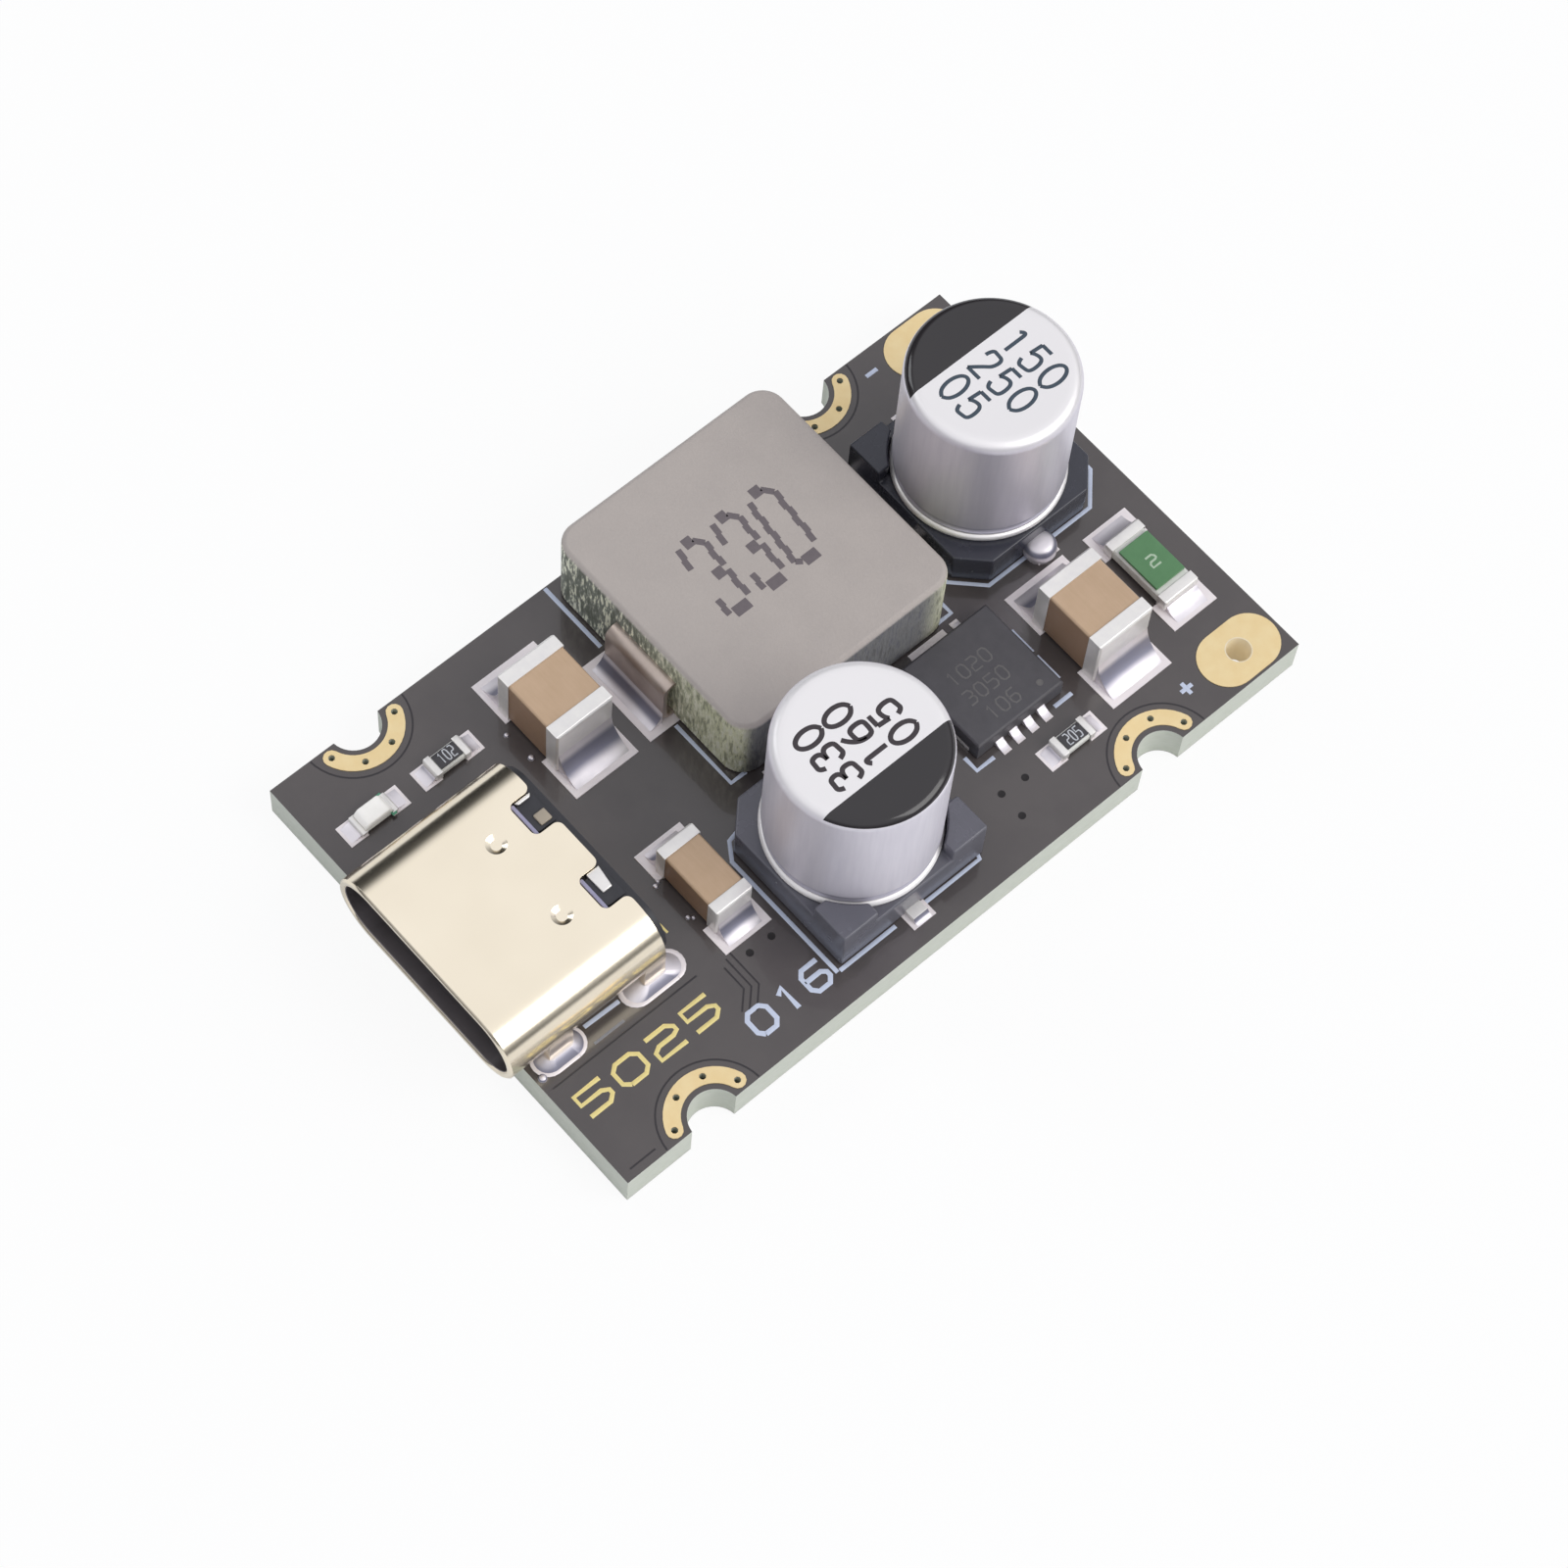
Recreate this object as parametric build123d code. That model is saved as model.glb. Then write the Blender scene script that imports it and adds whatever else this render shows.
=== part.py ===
from build123d import *
from math import atan2, cos, hypot, pi, sin
import os

os.makedirs("parts", exist_ok=True)

# A small battery charger module: a circuit board that carries a USB-C port at its front end,
# a moulded inductor, two can capacitors, chips and two plated pads for the battery wires.
# The origin is the middle of the board's underside. X runs across the board, Y along it and
# away from the port, and Z up. All sizes are in millimetres.

# Board
board_width = 18.7
board_length = 30.95
board_thickness = 1.6
copper_thickness = 0.035
pocket_clearance = 0.01

# Half-round notches with a plated ring round each
notch_radius = 0.97
notch_outset = 0.1
front_notch_setback = 3.755
rear_notch_setback = 6.605
ring_gap = 0.2
ring_width = 0.6
ring_sweep_angle = 140.0
ring_end_sides = 12
ring_via_diameter = 0.25
ring_via_sides = 8
ring_via_count = 4

# Plated pads for the battery wires
power_pad_length = 3.3
power_pad_width = 2.2
power_pad_side_margin = 0.1
power_pad_rear_margin = 0.145
wire_hole_diameter = 1.0

# USB-C port: shell
shell_width = 8.94
shell_height = 3.16
shell_wall = 0.3
shell_length = 6.7
shell_overhang = 0.875
shell_lip_chamfer = 0.08
window_width = 1.45
window_depth = 1.0
window_spacing = 3.54
window_corner = 0.25
dimple_radius = 0.38
dimple_floor_radius = 0.2
dimple_depth = 0.2
dimple_spacing = 3.36
dimple_setback = 4.53
front_leg_width = 1.0
rear_leg_width = 0.9
front_slot_length = 1.5
rear_slot_length = 2.0
front_leg_setback = 2.15
leg_pitch = 4.1
leg_tip_gap = 0.3
leg_tip_chamfer = 0.15
leg_slot_width = 0.6
leg_pad_border = 0.28
leg_solder_height = 0.3
leg_solder_neck = 0.09

# USB-C port: insulator, mid plate and contacts
insulator_clearance = 0.02
insulator_depth = 1.25
insulator_tail = 0.3
boss_height = 0.14
boss_clearance = 0.12
tongue_width = 6.69
tongue_thickness = 0.7
tongue_setback = 0.9
tongue_tip_chamfer = 0.15
tongue_root_length = 1.1
tongue_root_thickness = 1.2
plate_thickness = 0.15
plate_width = 6.3
plate_setback = 0.35
contact_count = 12
contact_pitch = 0.5
contact_width = 0.25
contact_thickness = 0.1
contact_setback = 0.55
contact_tail_gap = 0.2
contact_foot = 0.3
contact_bend = 0.12
contact_land_extra = 0.1

# Moulded inductor
inductor_width = 10.02
inductor_length = 9.82
inductor_height = 3.5
inductor_x = -4.24
inductor_y = 1.84
inductor_corner = 0.9
inductor_edge = 0.15
inductor_standoff = 0.05
strap_width = 3.1
strap_thickness = 0.22
strap_reach = 0.5
strap_exit_height = 2.2
strap_depth = 0.9
strap_foot = 1.6
strap_bend = 0.35
inductor_land_reach = 0.8
inductor_land_width = 3.7

# Can capacitors
can_height = 7.7
can_radius = 3.1
can_lip_radius = 3.17
can_lip_height = 0.45
can_groove_height = 0.25
can_groove_depth = 0.12
can_edge = 0.42
can_shoulder_steps = 4
base_size = 6.5
base_thickness = 1.4
base_corner_chamfer = 1.0
base_post_height = 0.65
base_post_size = 1.55
base_post_clearance = 0.06
front_can_x = 4.84
front_can_y = -1.7
rear_can_x = -2.72
rear_can_gap = 0.61
lead_width = 0.65
lead_thickness = 0.2
lead_reach = 0.4
lead_root = 0.9
lead_land_width = 1.0
lead_land_reach = 0.25
blob_radius = 0.52
blob_height = 0.4

# Chips: outline and the wrap of the end caps
plating = 0.04
chip_edge = 0.07
coat_gap = 0.02
bulk_length = 3.2
bulk_width = 2.5
bulk_height = 2.5
bulk_cap = 0.6
bulk_land_span = 5.6
bulk_land_length = 1.85
bulk_land_width = 2.8
mid_length = 3.2
mid_width = 1.6
mid_height = 1.6
mid_cap = 0.5
mid_land_span = 4.75
mid_land_length = 1.2
mid_land_width = 2.05
fuse_height = 0.6
fuse_cap = 0.45
fuse_cover_height = 0.1
small_length = 1.6
small_width = 0.82
small_height = 0.42
small_cap = 0.3
small_cover_height = 0.03
small_land_span = 2.6
small_land_length = 0.75
small_land_width = 0.9
led_base_height = 0.2
led_lens_height = 0.35
led_lens_length = 1.2
led_lens_edge = 0.18
solder_hollow = 0.8
solder_climb = 0.45
solder_spread = 0.8
strap_solder_height = 0.66
strap_solder_reach = 0.56

# Places of the chips on the board
left_bulk_x = -5.17
left_bulk_y = -6.32
right_bulk_x = 4.2
right_bulk_y = 10.13
middle_ceramic_x = 2.93
middle_ceramic_y = -6.63
fuse_x = 3.8
fuse_y = 13.5
led_resistor_x = -6.33
led_resistor_y = -10.15
sense_resistor_x = 6.96
sense_resistor_y = 6.75
led_x = -6.33
led_y = -13.4

# Controller chip
controller_size = 4.0
controller_height = 0.85
controller_x = 3.36
controller_y = 5.78
controller_edge = 0.08
controller_pitch = 0.65
controller_pins = 4
controller_pin_width = 0.35
controller_pin_length = 0.4
controller_pin_height = 0.2
controller_land_reach = 0.5
controller_bar_length = 1.15
controller_bar_gap = 0.18
controller_bar_width = 0.3
controller_bar_shift = 0.33
controller_solder_height = 0.18

# Worked-out places
top = board_thickness
surface = top - copper_thickness
power_pad_x = board_width / 2 - power_pad_side_margin - power_pad_width / 2
power_pad_y = board_length / 2 - power_pad_rear_margin - power_pad_length / 2
rear_can_y = inductor_y + inductor_length / 2 + strap_reach + rear_can_gap + base_size / 2
front_edge = -board_length / 2
shell_front = front_edge - shell_overhang
shell_rear = shell_front + shell_length
shell_axis_z = top + shell_height / 2
leg_x = shell_width / 2 - shell_wall / 2
front_leg_y = shell_front + front_leg_setback
rear_leg_y = front_leg_y + leg_pitch
leg_places = [
    (side, y, leg_width, slot_length)
    for side in (-1, 1)
    for y, leg_width, slot_length in (
        (front_leg_y, front_leg_width, front_slot_length),
        (rear_leg_y, rear_leg_width, rear_slot_length),
    )
]
insulator_rear = shell_rear + insulator_tail
insulator_front = shell_rear - insulator_depth
contact_rear = insulator_rear + contact_tail_gap
contact_row = [(i - (contact_count - 1) / 2) * contact_pitch for i in range(contact_count)]
port_plane = Plane(origin=(0, shell_front, shell_axis_z), x_dir=(1, 0, 0), z_dir=(0, 1, 0))


def plate_at(sketch, z_low, z_high):
    """A flat plate with the sketch's outline between two heights."""
    return extrude(Pos(0, 0, z_low) * sketch, z_high - z_low)


def side_profile(points, x_middle, width):
    """An outline of (y, z) points, drawn out along X by the width, about x_middle."""
    face = make_face(Polyline(*[(0, y, z) for y, z in points], close=True))
    return extrude(Pos(x_middle, 0, 0) * face, width / 2, dir=(1, 0, 0), both=True)


def bent_strip(points, bend, thickness, x_middle, width):
    """A strip of sheet metal that follows (y, z) points, with rounded bends."""
    path = FilletPolyline(*[(0, y, z) for y, z in points], radius=bend)
    start = Plane(origin=path @ 0, x_dir=(1, 0, 0), z_dir=path % 0)
    section = start * Rectangle(width, thickness)
    return Pos(x_middle, 0, 0) * sweep(section, path=path)


# Board, rings and pads

def notch_centres():
    """Where the notches are, with the side of the board that each one opens to."""
    x = board_width / 2 + notch_outset
    rows = (front_edge + front_notch_setback, -front_edge - rear_notch_setback)
    return [(side, side * x, y) for side in (-1, 1) for y in rows]


def ring_radius():
    return notch_radius + ring_gap + ring_width / 2


def ring_outline(side, x, y):
    """The curved band that a notch ring covers, with rounded ends."""
    middle = 180 if side > 0 else 0
    half = ring_sweep_angle / 2
    band = trace(CenterArc((x, y), ring_radius(), middle - half, ring_sweep_angle), ring_width)
    for angle in (middle - half, middle + half):
        place = Pos(x, y) * Rot(0, 0, angle) * Pos(ring_radius(), 0)
        band += place * RegularPolygon(ring_width / 2, ring_end_sides)
    return band


def ring_vias(side, x, y):
    """The drilled holes of one ring, spaced evenly along it."""
    middle = 180 if side > 0 else 0
    step = ring_sweep_angle / (ring_via_count - 1)
    angles = [middle - ring_sweep_angle / 2 + i * step for i in range(ring_via_count)]
    spots = [Pos(x, y) * Rot(0, 0, a) * Pos(ring_radius(), 0) for a in angles]
    return [spot * RegularPolygon(ring_via_diameter / 2, ring_via_sides) for spot in spots]


def power_pad_outline(side):
    pad = SlotOverall(power_pad_length, power_pad_width, rotation=90)
    return Pos(side * power_pad_x, power_pad_y) * pad


def wire_hole(side):
    return Pos(side * power_pad_x, power_pad_y) * Circle(wire_hole_diameter / 2)


def leg_slot(side, y, slot_length, growth=0.0):
    slot = SlotOverall(slot_length + 2 * growth, leg_slot_width + 2 * growth, rotation=90)
    return Pos(side * leg_x, y) * slot


def leg_slots():
    return [leg_slot(side, y, slot) for side, y, leg_width, slot in leg_places]


def chip_lands(x, y, span, length, width, turned=False):
    """The two lands under a chip's ends. A turned chip lies along Y."""
    offset = span / 2 - length / 2
    if turned:
        return [Pos(x, y + s * offset) * Rectangle(width, length) for s in (-1, 1)]
    return [Pos(x + s * offset, y) * Rectangle(length, width) for s in (-1, 1)]


def port_lands():
    y_front = contact_rear - contact_thickness
    y_rear = contact_rear + contact_foot + contact_land_extra
    size = Rectangle(contact_width + contact_thickness / 2, y_rear - y_front)
    return [Pos(x, (y_front + y_rear) / 2) * size for x in contact_row]


def inductor_lands():
    lands = []
    for side in (-1, 1):
        face = inductor_length / 2
        inner = face - strap_foot
        outer = face + strap_reach + inductor_land_reach
        middle = inductor_y + side * (inner + outer) / 2
        lands.append(Pos(inductor_x, middle) * Rectangle(inductor_land_width, outer - inner))
    return lands


def lead_lands(x, y):
    inner = lead_root
    outer = base_size / 2 + lead_reach + lead_land_reach
    size = Rectangle(outer - inner, lead_land_width)
    return [Pos(x + s * (inner + outer) / 2, y) * size for s in (-1, 1)]


def controller_pin_places():
    """Middles of the pins along one side, measured from the chip's middle."""
    return [(i - (controller_pins - 1) / 2) * controller_pitch for i in range(controller_pins)]


def controller_lands():
    """Single lands at the right, a joined and a single one at the left, and two bars behind."""
    half = controller_size / 2
    reach = controller_pin_length + controller_land_reach
    middle = half + controller_land_reach - reach / 2
    lands = [
        Pos(controller_x + middle, controller_y + place) * Rectangle(reach, controller_pin_width)
        for place in controller_pin_places()
    ]
    joined = controller_pin_places()[:-1]
    joined_width = joined[-1] - joined[0] + controller_pin_width
    joined_y = controller_y + (joined[0] + joined[-1]) / 2
    lands.append(Pos(controller_x - middle, joined_y) * Rectangle(reach, joined_width))
    single_y = controller_y + controller_pin_places()[-1]
    lands.append(Pos(controller_x - middle, single_y) * Rectangle(reach, controller_pin_width))
    for x in controller_bar_places():
        bar = Rectangle(controller_bar_length, controller_pin_length + controller_bar_width)
        offset = half + controller_bar_width - (controller_pin_length + controller_bar_width) / 2
        lands.append(Pos(controller_x + x, controller_y + offset) * bar)
    return lands


def controller_bar_places():
    step = controller_bar_length + controller_bar_gap
    return [controller_bar_shift - step / 2, controller_bar_shift + step / 2]


def top_lands():
    """Every tinned land on the top face, as separate outlines."""
    lands = []
    lands += chip_lands(left_bulk_x, left_bulk_y, bulk_land_span, bulk_land_length, bulk_land_width)
    lands += chip_lands(right_bulk_x, right_bulk_y, bulk_land_span, bulk_land_length, bulk_land_width)
    for x, y in ((middle_ceramic_x, middle_ceramic_y), (fuse_x, fuse_y)):
        lands += chip_lands(x, y, mid_land_span, mid_land_length, mid_land_width)
    for x, y in (
        (led_resistor_x, led_resistor_y),
        (sense_resistor_x, sense_resistor_y),
        (led_x, led_y),
    ):
        lands += chip_lands(x, y, small_land_span, small_land_length, small_land_width, turned=True)
    lands += inductor_lands()
    lands += lead_lands(front_can_x, front_can_y) + lead_lands(rear_can_x, rear_can_y)
    lands += controller_lands() + port_lands()
    return lands


def circuit_board():
    """The board up to its mask, on which the copper stands."""
    blank = plate_at(Rectangle(board_width, board_length), 0, surface)
    through = []
    for side, x, y in notch_centres():
        through.append(Pos(x, y) * Circle(notch_radius))
        through += ring_vias(side, x, y)
    through += [wire_hole(side) for side in (-1, 1)]
    through += leg_slots()
    return blank - [plate_at(outline, 0, surface) for outline in through]


def notch_rings():
    rings = [ring_outline(*place) - ring_vias(*place) for place in notch_centres()]
    return [plate_at(outline, surface, top) for outline in rings]


def power_pads():
    """The pad round each wire hole."""
    outlines = [power_pad_outline(side) - wire_hole(side) for side in (-1, 1)]
    return [plate_at(outline, surface, top) for outline in outlines]


def component_lands():
    return [plate_at(outline, surface, top) for outline in top_lands()]


# USB-C port

def inner_outline(clearance=0.0):
    cut = 2 * (shell_wall + clearance)
    return SlotOverall(shell_width - cut, shell_height - cut)


def shell_windows(growth, z_low, z_high):
    """The two cut-outs that open to the shell's rear edge."""
    cuts = []
    for side in (-1, 1):
        length = 2 * (window_depth + growth + window_corner)
        outline = RectangleRounded(window_width + 2 * growth, length, window_corner)
        place = Pos(side * window_spacing / 2, shell_rear + window_corner)
        cuts.append(plate_at(place * outline, z_low, z_high))
    return cuts


def dimple(side, growth):
    """The blunt cone that presses one spring dimple into the top wall, grown by the metal round it."""
    depth = dimple_depth + growth
    press = Cone(dimple_floor_radius + growth, dimple_radius + growth, depth)
    place = Pos(side * dimple_spacing / 2, shell_front + dimple_setback, top + shell_height)
    return place * Pos(0, 0, -depth / 2) * press


def shell_leg(side, y, leg_width):
    """A flat leg that runs straight down from the shell's widest line into its slot."""
    half = leg_width / 2
    tip = leg_tip_gap
    points = [
        (y - half, shell_axis_z),
        (y - half, tip + leg_tip_chamfer),
        (y - half + leg_tip_chamfer, tip),
        (y + half - leg_tip_chamfer, tip),
        (y + half, tip + leg_tip_chamfer),
        (y + half, shell_axis_z),
    ]
    return side_profile(points, side * leg_x, shell_wall)


def usb_shell():
    outer = SlotOverall(shell_width, shell_height)
    tube = extrude(port_plane * (outer - inner_outline()), shell_length)
    front_edges = tube.faces().sort_by(Axis.Y)[0].edges()
    tube = chamfer(front_edges, shell_lip_chamfer)
    tube -= shell_windows(0, shell_axis_z, top + shell_height)
    inside = extrude(port_plane * inner_outline(), shell_length)
    for side in (-1, 1):
        tube += dimple(side, shell_wall) & inside
        tube -= dimple(side, 0)
    for side, y, leg_width, slot in leg_places:
        tube += shell_leg(side, y, leg_width)
    return tube


def contact_profile(z):
    """Side view of a contact: along the tongue, out of the moulding, down and back to its foot."""
    half = contact_thickness / 2
    rear = contact_rear - half
    foot_z = top + half
    line = Polyline(
        (shell_front + tongue_setback + contact_setback, z),
        (rear - contact_bend, z),
        (rear, z - contact_bend),
        (rear, foot_z + contact_bend),
        (rear + contact_bend, foot_z),
        (contact_rear + contact_foot, foot_z),
    )
    return trace(line, contact_thickness)


def contacts(first, z):
    """Every second contact of the row, all at one height in the tongue."""
    strip = extrude(Plane.YZ * contact_profile(z), contact_width / 2, both=True)
    return [Pos(x, 0, 0) * strip for x in contact_row[first::2]]


def upper_contacts():
    return contacts(0, shell_axis_z + tongue_thickness / 2 - contact_thickness / 2)


def lower_contacts():
    return contacts(1, shell_axis_z - tongue_thickness / 2 + contact_thickness / 2)


def usb_mid_plate():
    front = shell_front + tongue_setback + plate_setback
    outline = Pos(0, (front + insulator_front) / 2) * Rectangle(plate_width, insulator_front - front)
    low = shell_axis_z - plate_thickness / 2
    return plate_at(outline, low, low + plate_thickness)


def usb_insulator():
    length = insulator_rear - insulator_front
    rear_plane = port_plane.offset(insulator_front - shell_front)
    block = extrude(rear_plane * inner_outline(insulator_clearance), length)
    tongue_length = insulator_front - shell_front - tongue_setback
    tongue_plane = port_plane.offset(tongue_setback)
    tongue = extrude(tongue_plane * Rectangle(tongue_width, tongue_thickness), tongue_length)
    tip_edges = tongue.faces().sort_by(Axis.Y)[0].edges().filter_by(Axis.X)
    tongue = chamfer(tip_edges, tongue_tip_chamfer)
    root_plane = port_plane.offset(tongue_setback + tongue_length - tongue_root_length)
    root = extrude(root_plane * Rectangle(tongue_width, tongue_root_thickness), tongue_root_length)
    boss_top = top + shell_height - shell_wall + boss_height
    bosses = shell_windows(-boss_clearance, shell_axis_z, boss_top)
    within_shell = Pos(0, shell_rear - window_depth) * Rectangle(shell_width, 2 * window_depth)
    cover = plate_at(within_shell, shell_axis_z, boss_top)
    moulding = block + tongue + root
    for boss in bosses:
        moulding += boss & cover
    return moulding - usb_mid_plate() - upper_contacts() - lower_contacts()


def usb_leg_solder():
    """Solder that fills each leg's slot and climbs the leg from an oval foot."""
    shell_outline = extrude(port_plane * SlotOverall(shell_width, shell_height), shell_length)
    joints = []
    for side, y, leg_width, slot in leg_places:
        fill = plate_at(leg_slot(side, y, slot, -pocket_clearance), 0, surface)
        foot = Pos(0, 0, surface) * leg_slot(side, y, slot, leg_pad_border)
        neck_size = (leg_width + 2 * leg_solder_neck, shell_wall + 2 * leg_solder_neck)
        neck = Pos(side * leg_x, y) * SlotOverall(*neck_size, rotation=90)
        climb = loft([foot, Pos(0, 0, top + leg_solder_height) * neck])
        joints.append(fill + climb - shell_leg(side, y, leg_width) - shell_outline)
    return joints


# Moulded inductor

def strap_path(side):
    face = inductor_length / 2
    outer = face + strap_reach - strap_thickness / 2
    foot_z = top + strap_thickness / 2
    points = [
        (face - strap_depth, top + strap_exit_height),
        (outer, top + strap_exit_height),
        (outer, foot_z),
        (face - strap_foot, foot_z),
    ]
    return [(inductor_y + side * y, z) for y, z in points]


def inductor_straps():
    return [
        bent_strip(strap_path(side), strap_bend, strap_thickness, inductor_x, strap_width)
        for side in (-1, 1)
    ]


def inductor_body():
    outline = Pos(inductor_x, inductor_y) * RectangleRounded(inductor_width, inductor_length, inductor_corner)
    body = plate_at(outline, top + inductor_standoff, top + inductor_height)
    body = chamfer(body.faces().sort_by(Axis.Z)[-1].edges(), inductor_edge)
    return body - inductor_straps()


# Can capacitors

def capacitor_can(x, y):
    """The drawn can with its crimped lip, groove and rounded shoulder."""
    low = base_thickness
    groove_low = low + can_lip_height
    groove_middle = groove_low + can_groove_height / 2
    outline = [
        (0, low),
        (can_lip_radius, low),
        (can_lip_radius, groove_low),
        (can_radius - can_groove_depth, groove_middle),
        (can_radius, groove_low + can_groove_height),
    ]
    for step in range(can_shoulder_steps + 1):
        angle = step / can_shoulder_steps * pi / 2
        radius = can_radius - can_edge * (1 - cos(angle))
        outline.append((radius, can_height - can_edge * (1 - sin(angle))))
    face = make_face(Polyline(*outline, (0, can_height), close=True))
    return Pos(x, y, top) * revolve(Plane.XZ * face, Axis.Z)


def base_outline(size, chamfer_side):
    """The square base, with the corners on one side cut off."""
    outline = Rectangle(size, size)
    corners = outline.vertices().group_by(Axis.X)[-1 if chamfer_side > 0 else 0]
    return chamfer(corners, base_corner_chamfer)


def capacitor_leads(x, y):
    """Two flat leads: down through the base, then out from under it along X."""
    leads = []
    outer = base_size / 2 + lead_reach
    for side in (-1, 1):
        strip = Rectangle(outer - lead_root, lead_width)
        lead = plate_at(Pos(x + side * (outer + lead_root) / 2, y) * strip, top, top + lead_thickness)
        pin = Rectangle(lead_thickness, lead_width)
        place = Pos(x + side * (lead_root + lead_thickness / 2), y)
        leads.append(lead + plate_at(place * pin, top, top + base_thickness))
    return leads


def capacitor_base(x, y, chamfer_side):
    place = Pos(x, y)
    base = plate_at(place * base_outline(base_size, chamfer_side), top, top + base_thickness)
    ring = Circle(can_lip_radius + base_post_clearance)
    half = base_size / 2
    for side in (-1, 1):
        corner = Pos(-chamfer_side * (half - base_post_size / 2), side * (half - base_post_size / 2))
        post = corner * Rectangle(base_post_size, base_post_size) - ring
        base += plate_at(place * post, top + base_thickness, top + base_thickness + base_post_height)
    return base - capacitor_leads(x, y)


# Chips

def chip_place(x, y, turned):
    return Pos(x, y, top) * Rot(0, 0, 90 if turned else 0)


def chip_core(length, width, height):
    """What lies between a chip's end caps, one plating thickness inside its outline."""
    size = Box(length - 2 * plating, width - 2 * plating, height - 2 * plating)
    core = Pos(0, 0, height / 2) * size
    return chamfer(core.edges(), min(chip_edge, (height - 2 * plating) / 4))


def chip_caps(length, width, height, cap):
    caps = []
    for side in (-1, 1):
        wrap = Pos(side * (length / 2 - cap / 2), 0, height / 2) * Box(cap, width, height)
        outer = wrap.faces().sort_by(Axis.X)[-1 if side > 0 else 0]
        wrap = chamfer(outer.edges(), min(chip_edge, height / 4))
        caps.append(wrap - chip_core(length, width, height))
    return caps


def chip_cover(length, width, height, cap, cover):
    """The printed coat on top of a resistor or fuse, between its caps."""
    size = Box(length - 2 * cap - 2 * coat_gap, width - 2 * plating - 2 * chip_edge, cover + plating)
    return Pos(0, 0, height - plating + (cover + plating) / 2) * size


def ceramic(x, y, length, width, height, cap):
    place = chip_place(x, y, False)
    body = place * chip_core(length, width, height)
    return body, [place * c for c in chip_caps(length, width, height, cap)]


def resistor(x, y, length, width, height, cap, cover, turned):
    place = chip_place(x, y, turned)
    body = place * chip_core(length, width, height)
    coat = place * chip_cover(length, width, height, cap, cover)
    return body, coat, [place * c for c in chip_caps(length, width, height, cap)]


def led():
    place = chip_place(led_x, led_y, True)
    base = chip_core(small_length, small_width, led_base_height)
    lens = Box(led_lens_length, small_width - 2 * plating, led_lens_height)
    lens = Pos(0, 0, led_base_height - plating + led_lens_height / 2) * lens
    top_face = lens.faces().sort_by(Axis.Z)[-1]
    lens = chamfer(top_face.edges().filter_by(Axis.Y), led_lens_edge)
    caps = chip_caps(small_length, small_width, led_base_height, small_cap - plating)
    ends = [place * (c - lens) for c in caps]
    return place * base, place * lens, ends


def solder_wedge(reach, height, width):
    """A hollow-faced fillet: against X = 0, out to the reach and up to the height."""
    flat_angle = atan2(min(reach, height), max(reach, height))
    radius = hypot(reach, height) / (2 * sin(solder_hollow * flat_angle))
    hollow = RadiusArc((reach, 0), (0, height), radius)
    face = make_face(Polyline((0, height), (0, 0), (reach, 0)) + hollow)
    return extrude(Plane.XZ * face, width / 2, both=True)


def chip_solder():
    """A fillet from each end cap to the outer edge of its land."""
    chips = [
        (left_bulk_x, left_bulk_y, bulk_length, bulk_width, bulk_height, bulk_land_span, False),
        (right_bulk_x, right_bulk_y, bulk_length, bulk_width, bulk_height, bulk_land_span, False),
        (middle_ceramic_x, middle_ceramic_y, mid_length, mid_width, mid_height, mid_land_span, False),
        (fuse_x, fuse_y, mid_length, mid_width, fuse_height, mid_land_span, False),
        (led_resistor_x, led_resistor_y, small_length, small_width, small_height, small_land_span, True),
        (sense_resistor_x, sense_resistor_y, small_length, small_width, small_height, small_land_span, True),
        (led_x, led_y, small_length, small_width, led_base_height, small_land_span, True),
    ]
    fillets = []
    for x, y, length, width, height, land_span, turned in chips:
        reach = (land_span - length) / 2
        wedge = solder_wedge(reach * solder_spread, height * solder_climb, width - 2 * chip_edge)
        for turn in (0, 180):
            end = Rot(0, 0, turn) * Pos(length / 2, 0, 0) * wedge
            fillets.append(chip_place(x, y, turned) * end)
    return fillets


def strap_solder():
    wedge = solder_wedge(strap_solder_reach, strap_solder_height, strap_width)
    face = inductor_length / 2 + strap_reach
    place = Pos(inductor_x, inductor_y, top)
    return [place * Rot(0, 0, turn) * Pos(face, 0, 0) * wedge for turn in (90, -90)]


def rear_lead_blob():
    """The rounded bead over the tip of the rear can's right lead."""
    ball = (blob_radius**2 + blob_height**2) / (2 * blob_height)
    place = Pos(rear_can_x + base_size / 2 + blob_radius / 2, rear_can_y, top)
    dome = place * Pos(0, 0, blob_height - ball) * Sphere(ball)
    keep = place * Pos(0, 0, blob_height / 2) * Box(2 * ball, 2 * ball, blob_height)
    square = Pos(rear_can_x, rear_can_y) * Rectangle(base_size, base_size)
    base = plate_at(square, top, top + base_thickness)
    return (dome & keep) - base - capacitor_leads(rear_can_x, rear_can_y)


def lead_solder():
    """A low fillet at the tip of each can lead that has no bead."""
    tip = Pos(base_size / 2 + lead_reach, 0, 0)
    wedge = tip * solder_wedge(lead_land_reach, lead_thickness, lead_width)
    front = Pos(front_can_x, front_can_y, top)
    rear = Pos(rear_can_x, rear_can_y, top)
    turned = Rot(0, 0, 180) * wedge
    return [front * wedge, front * turned, rear * turned, rear_lead_blob()]


# Controller chip

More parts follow.
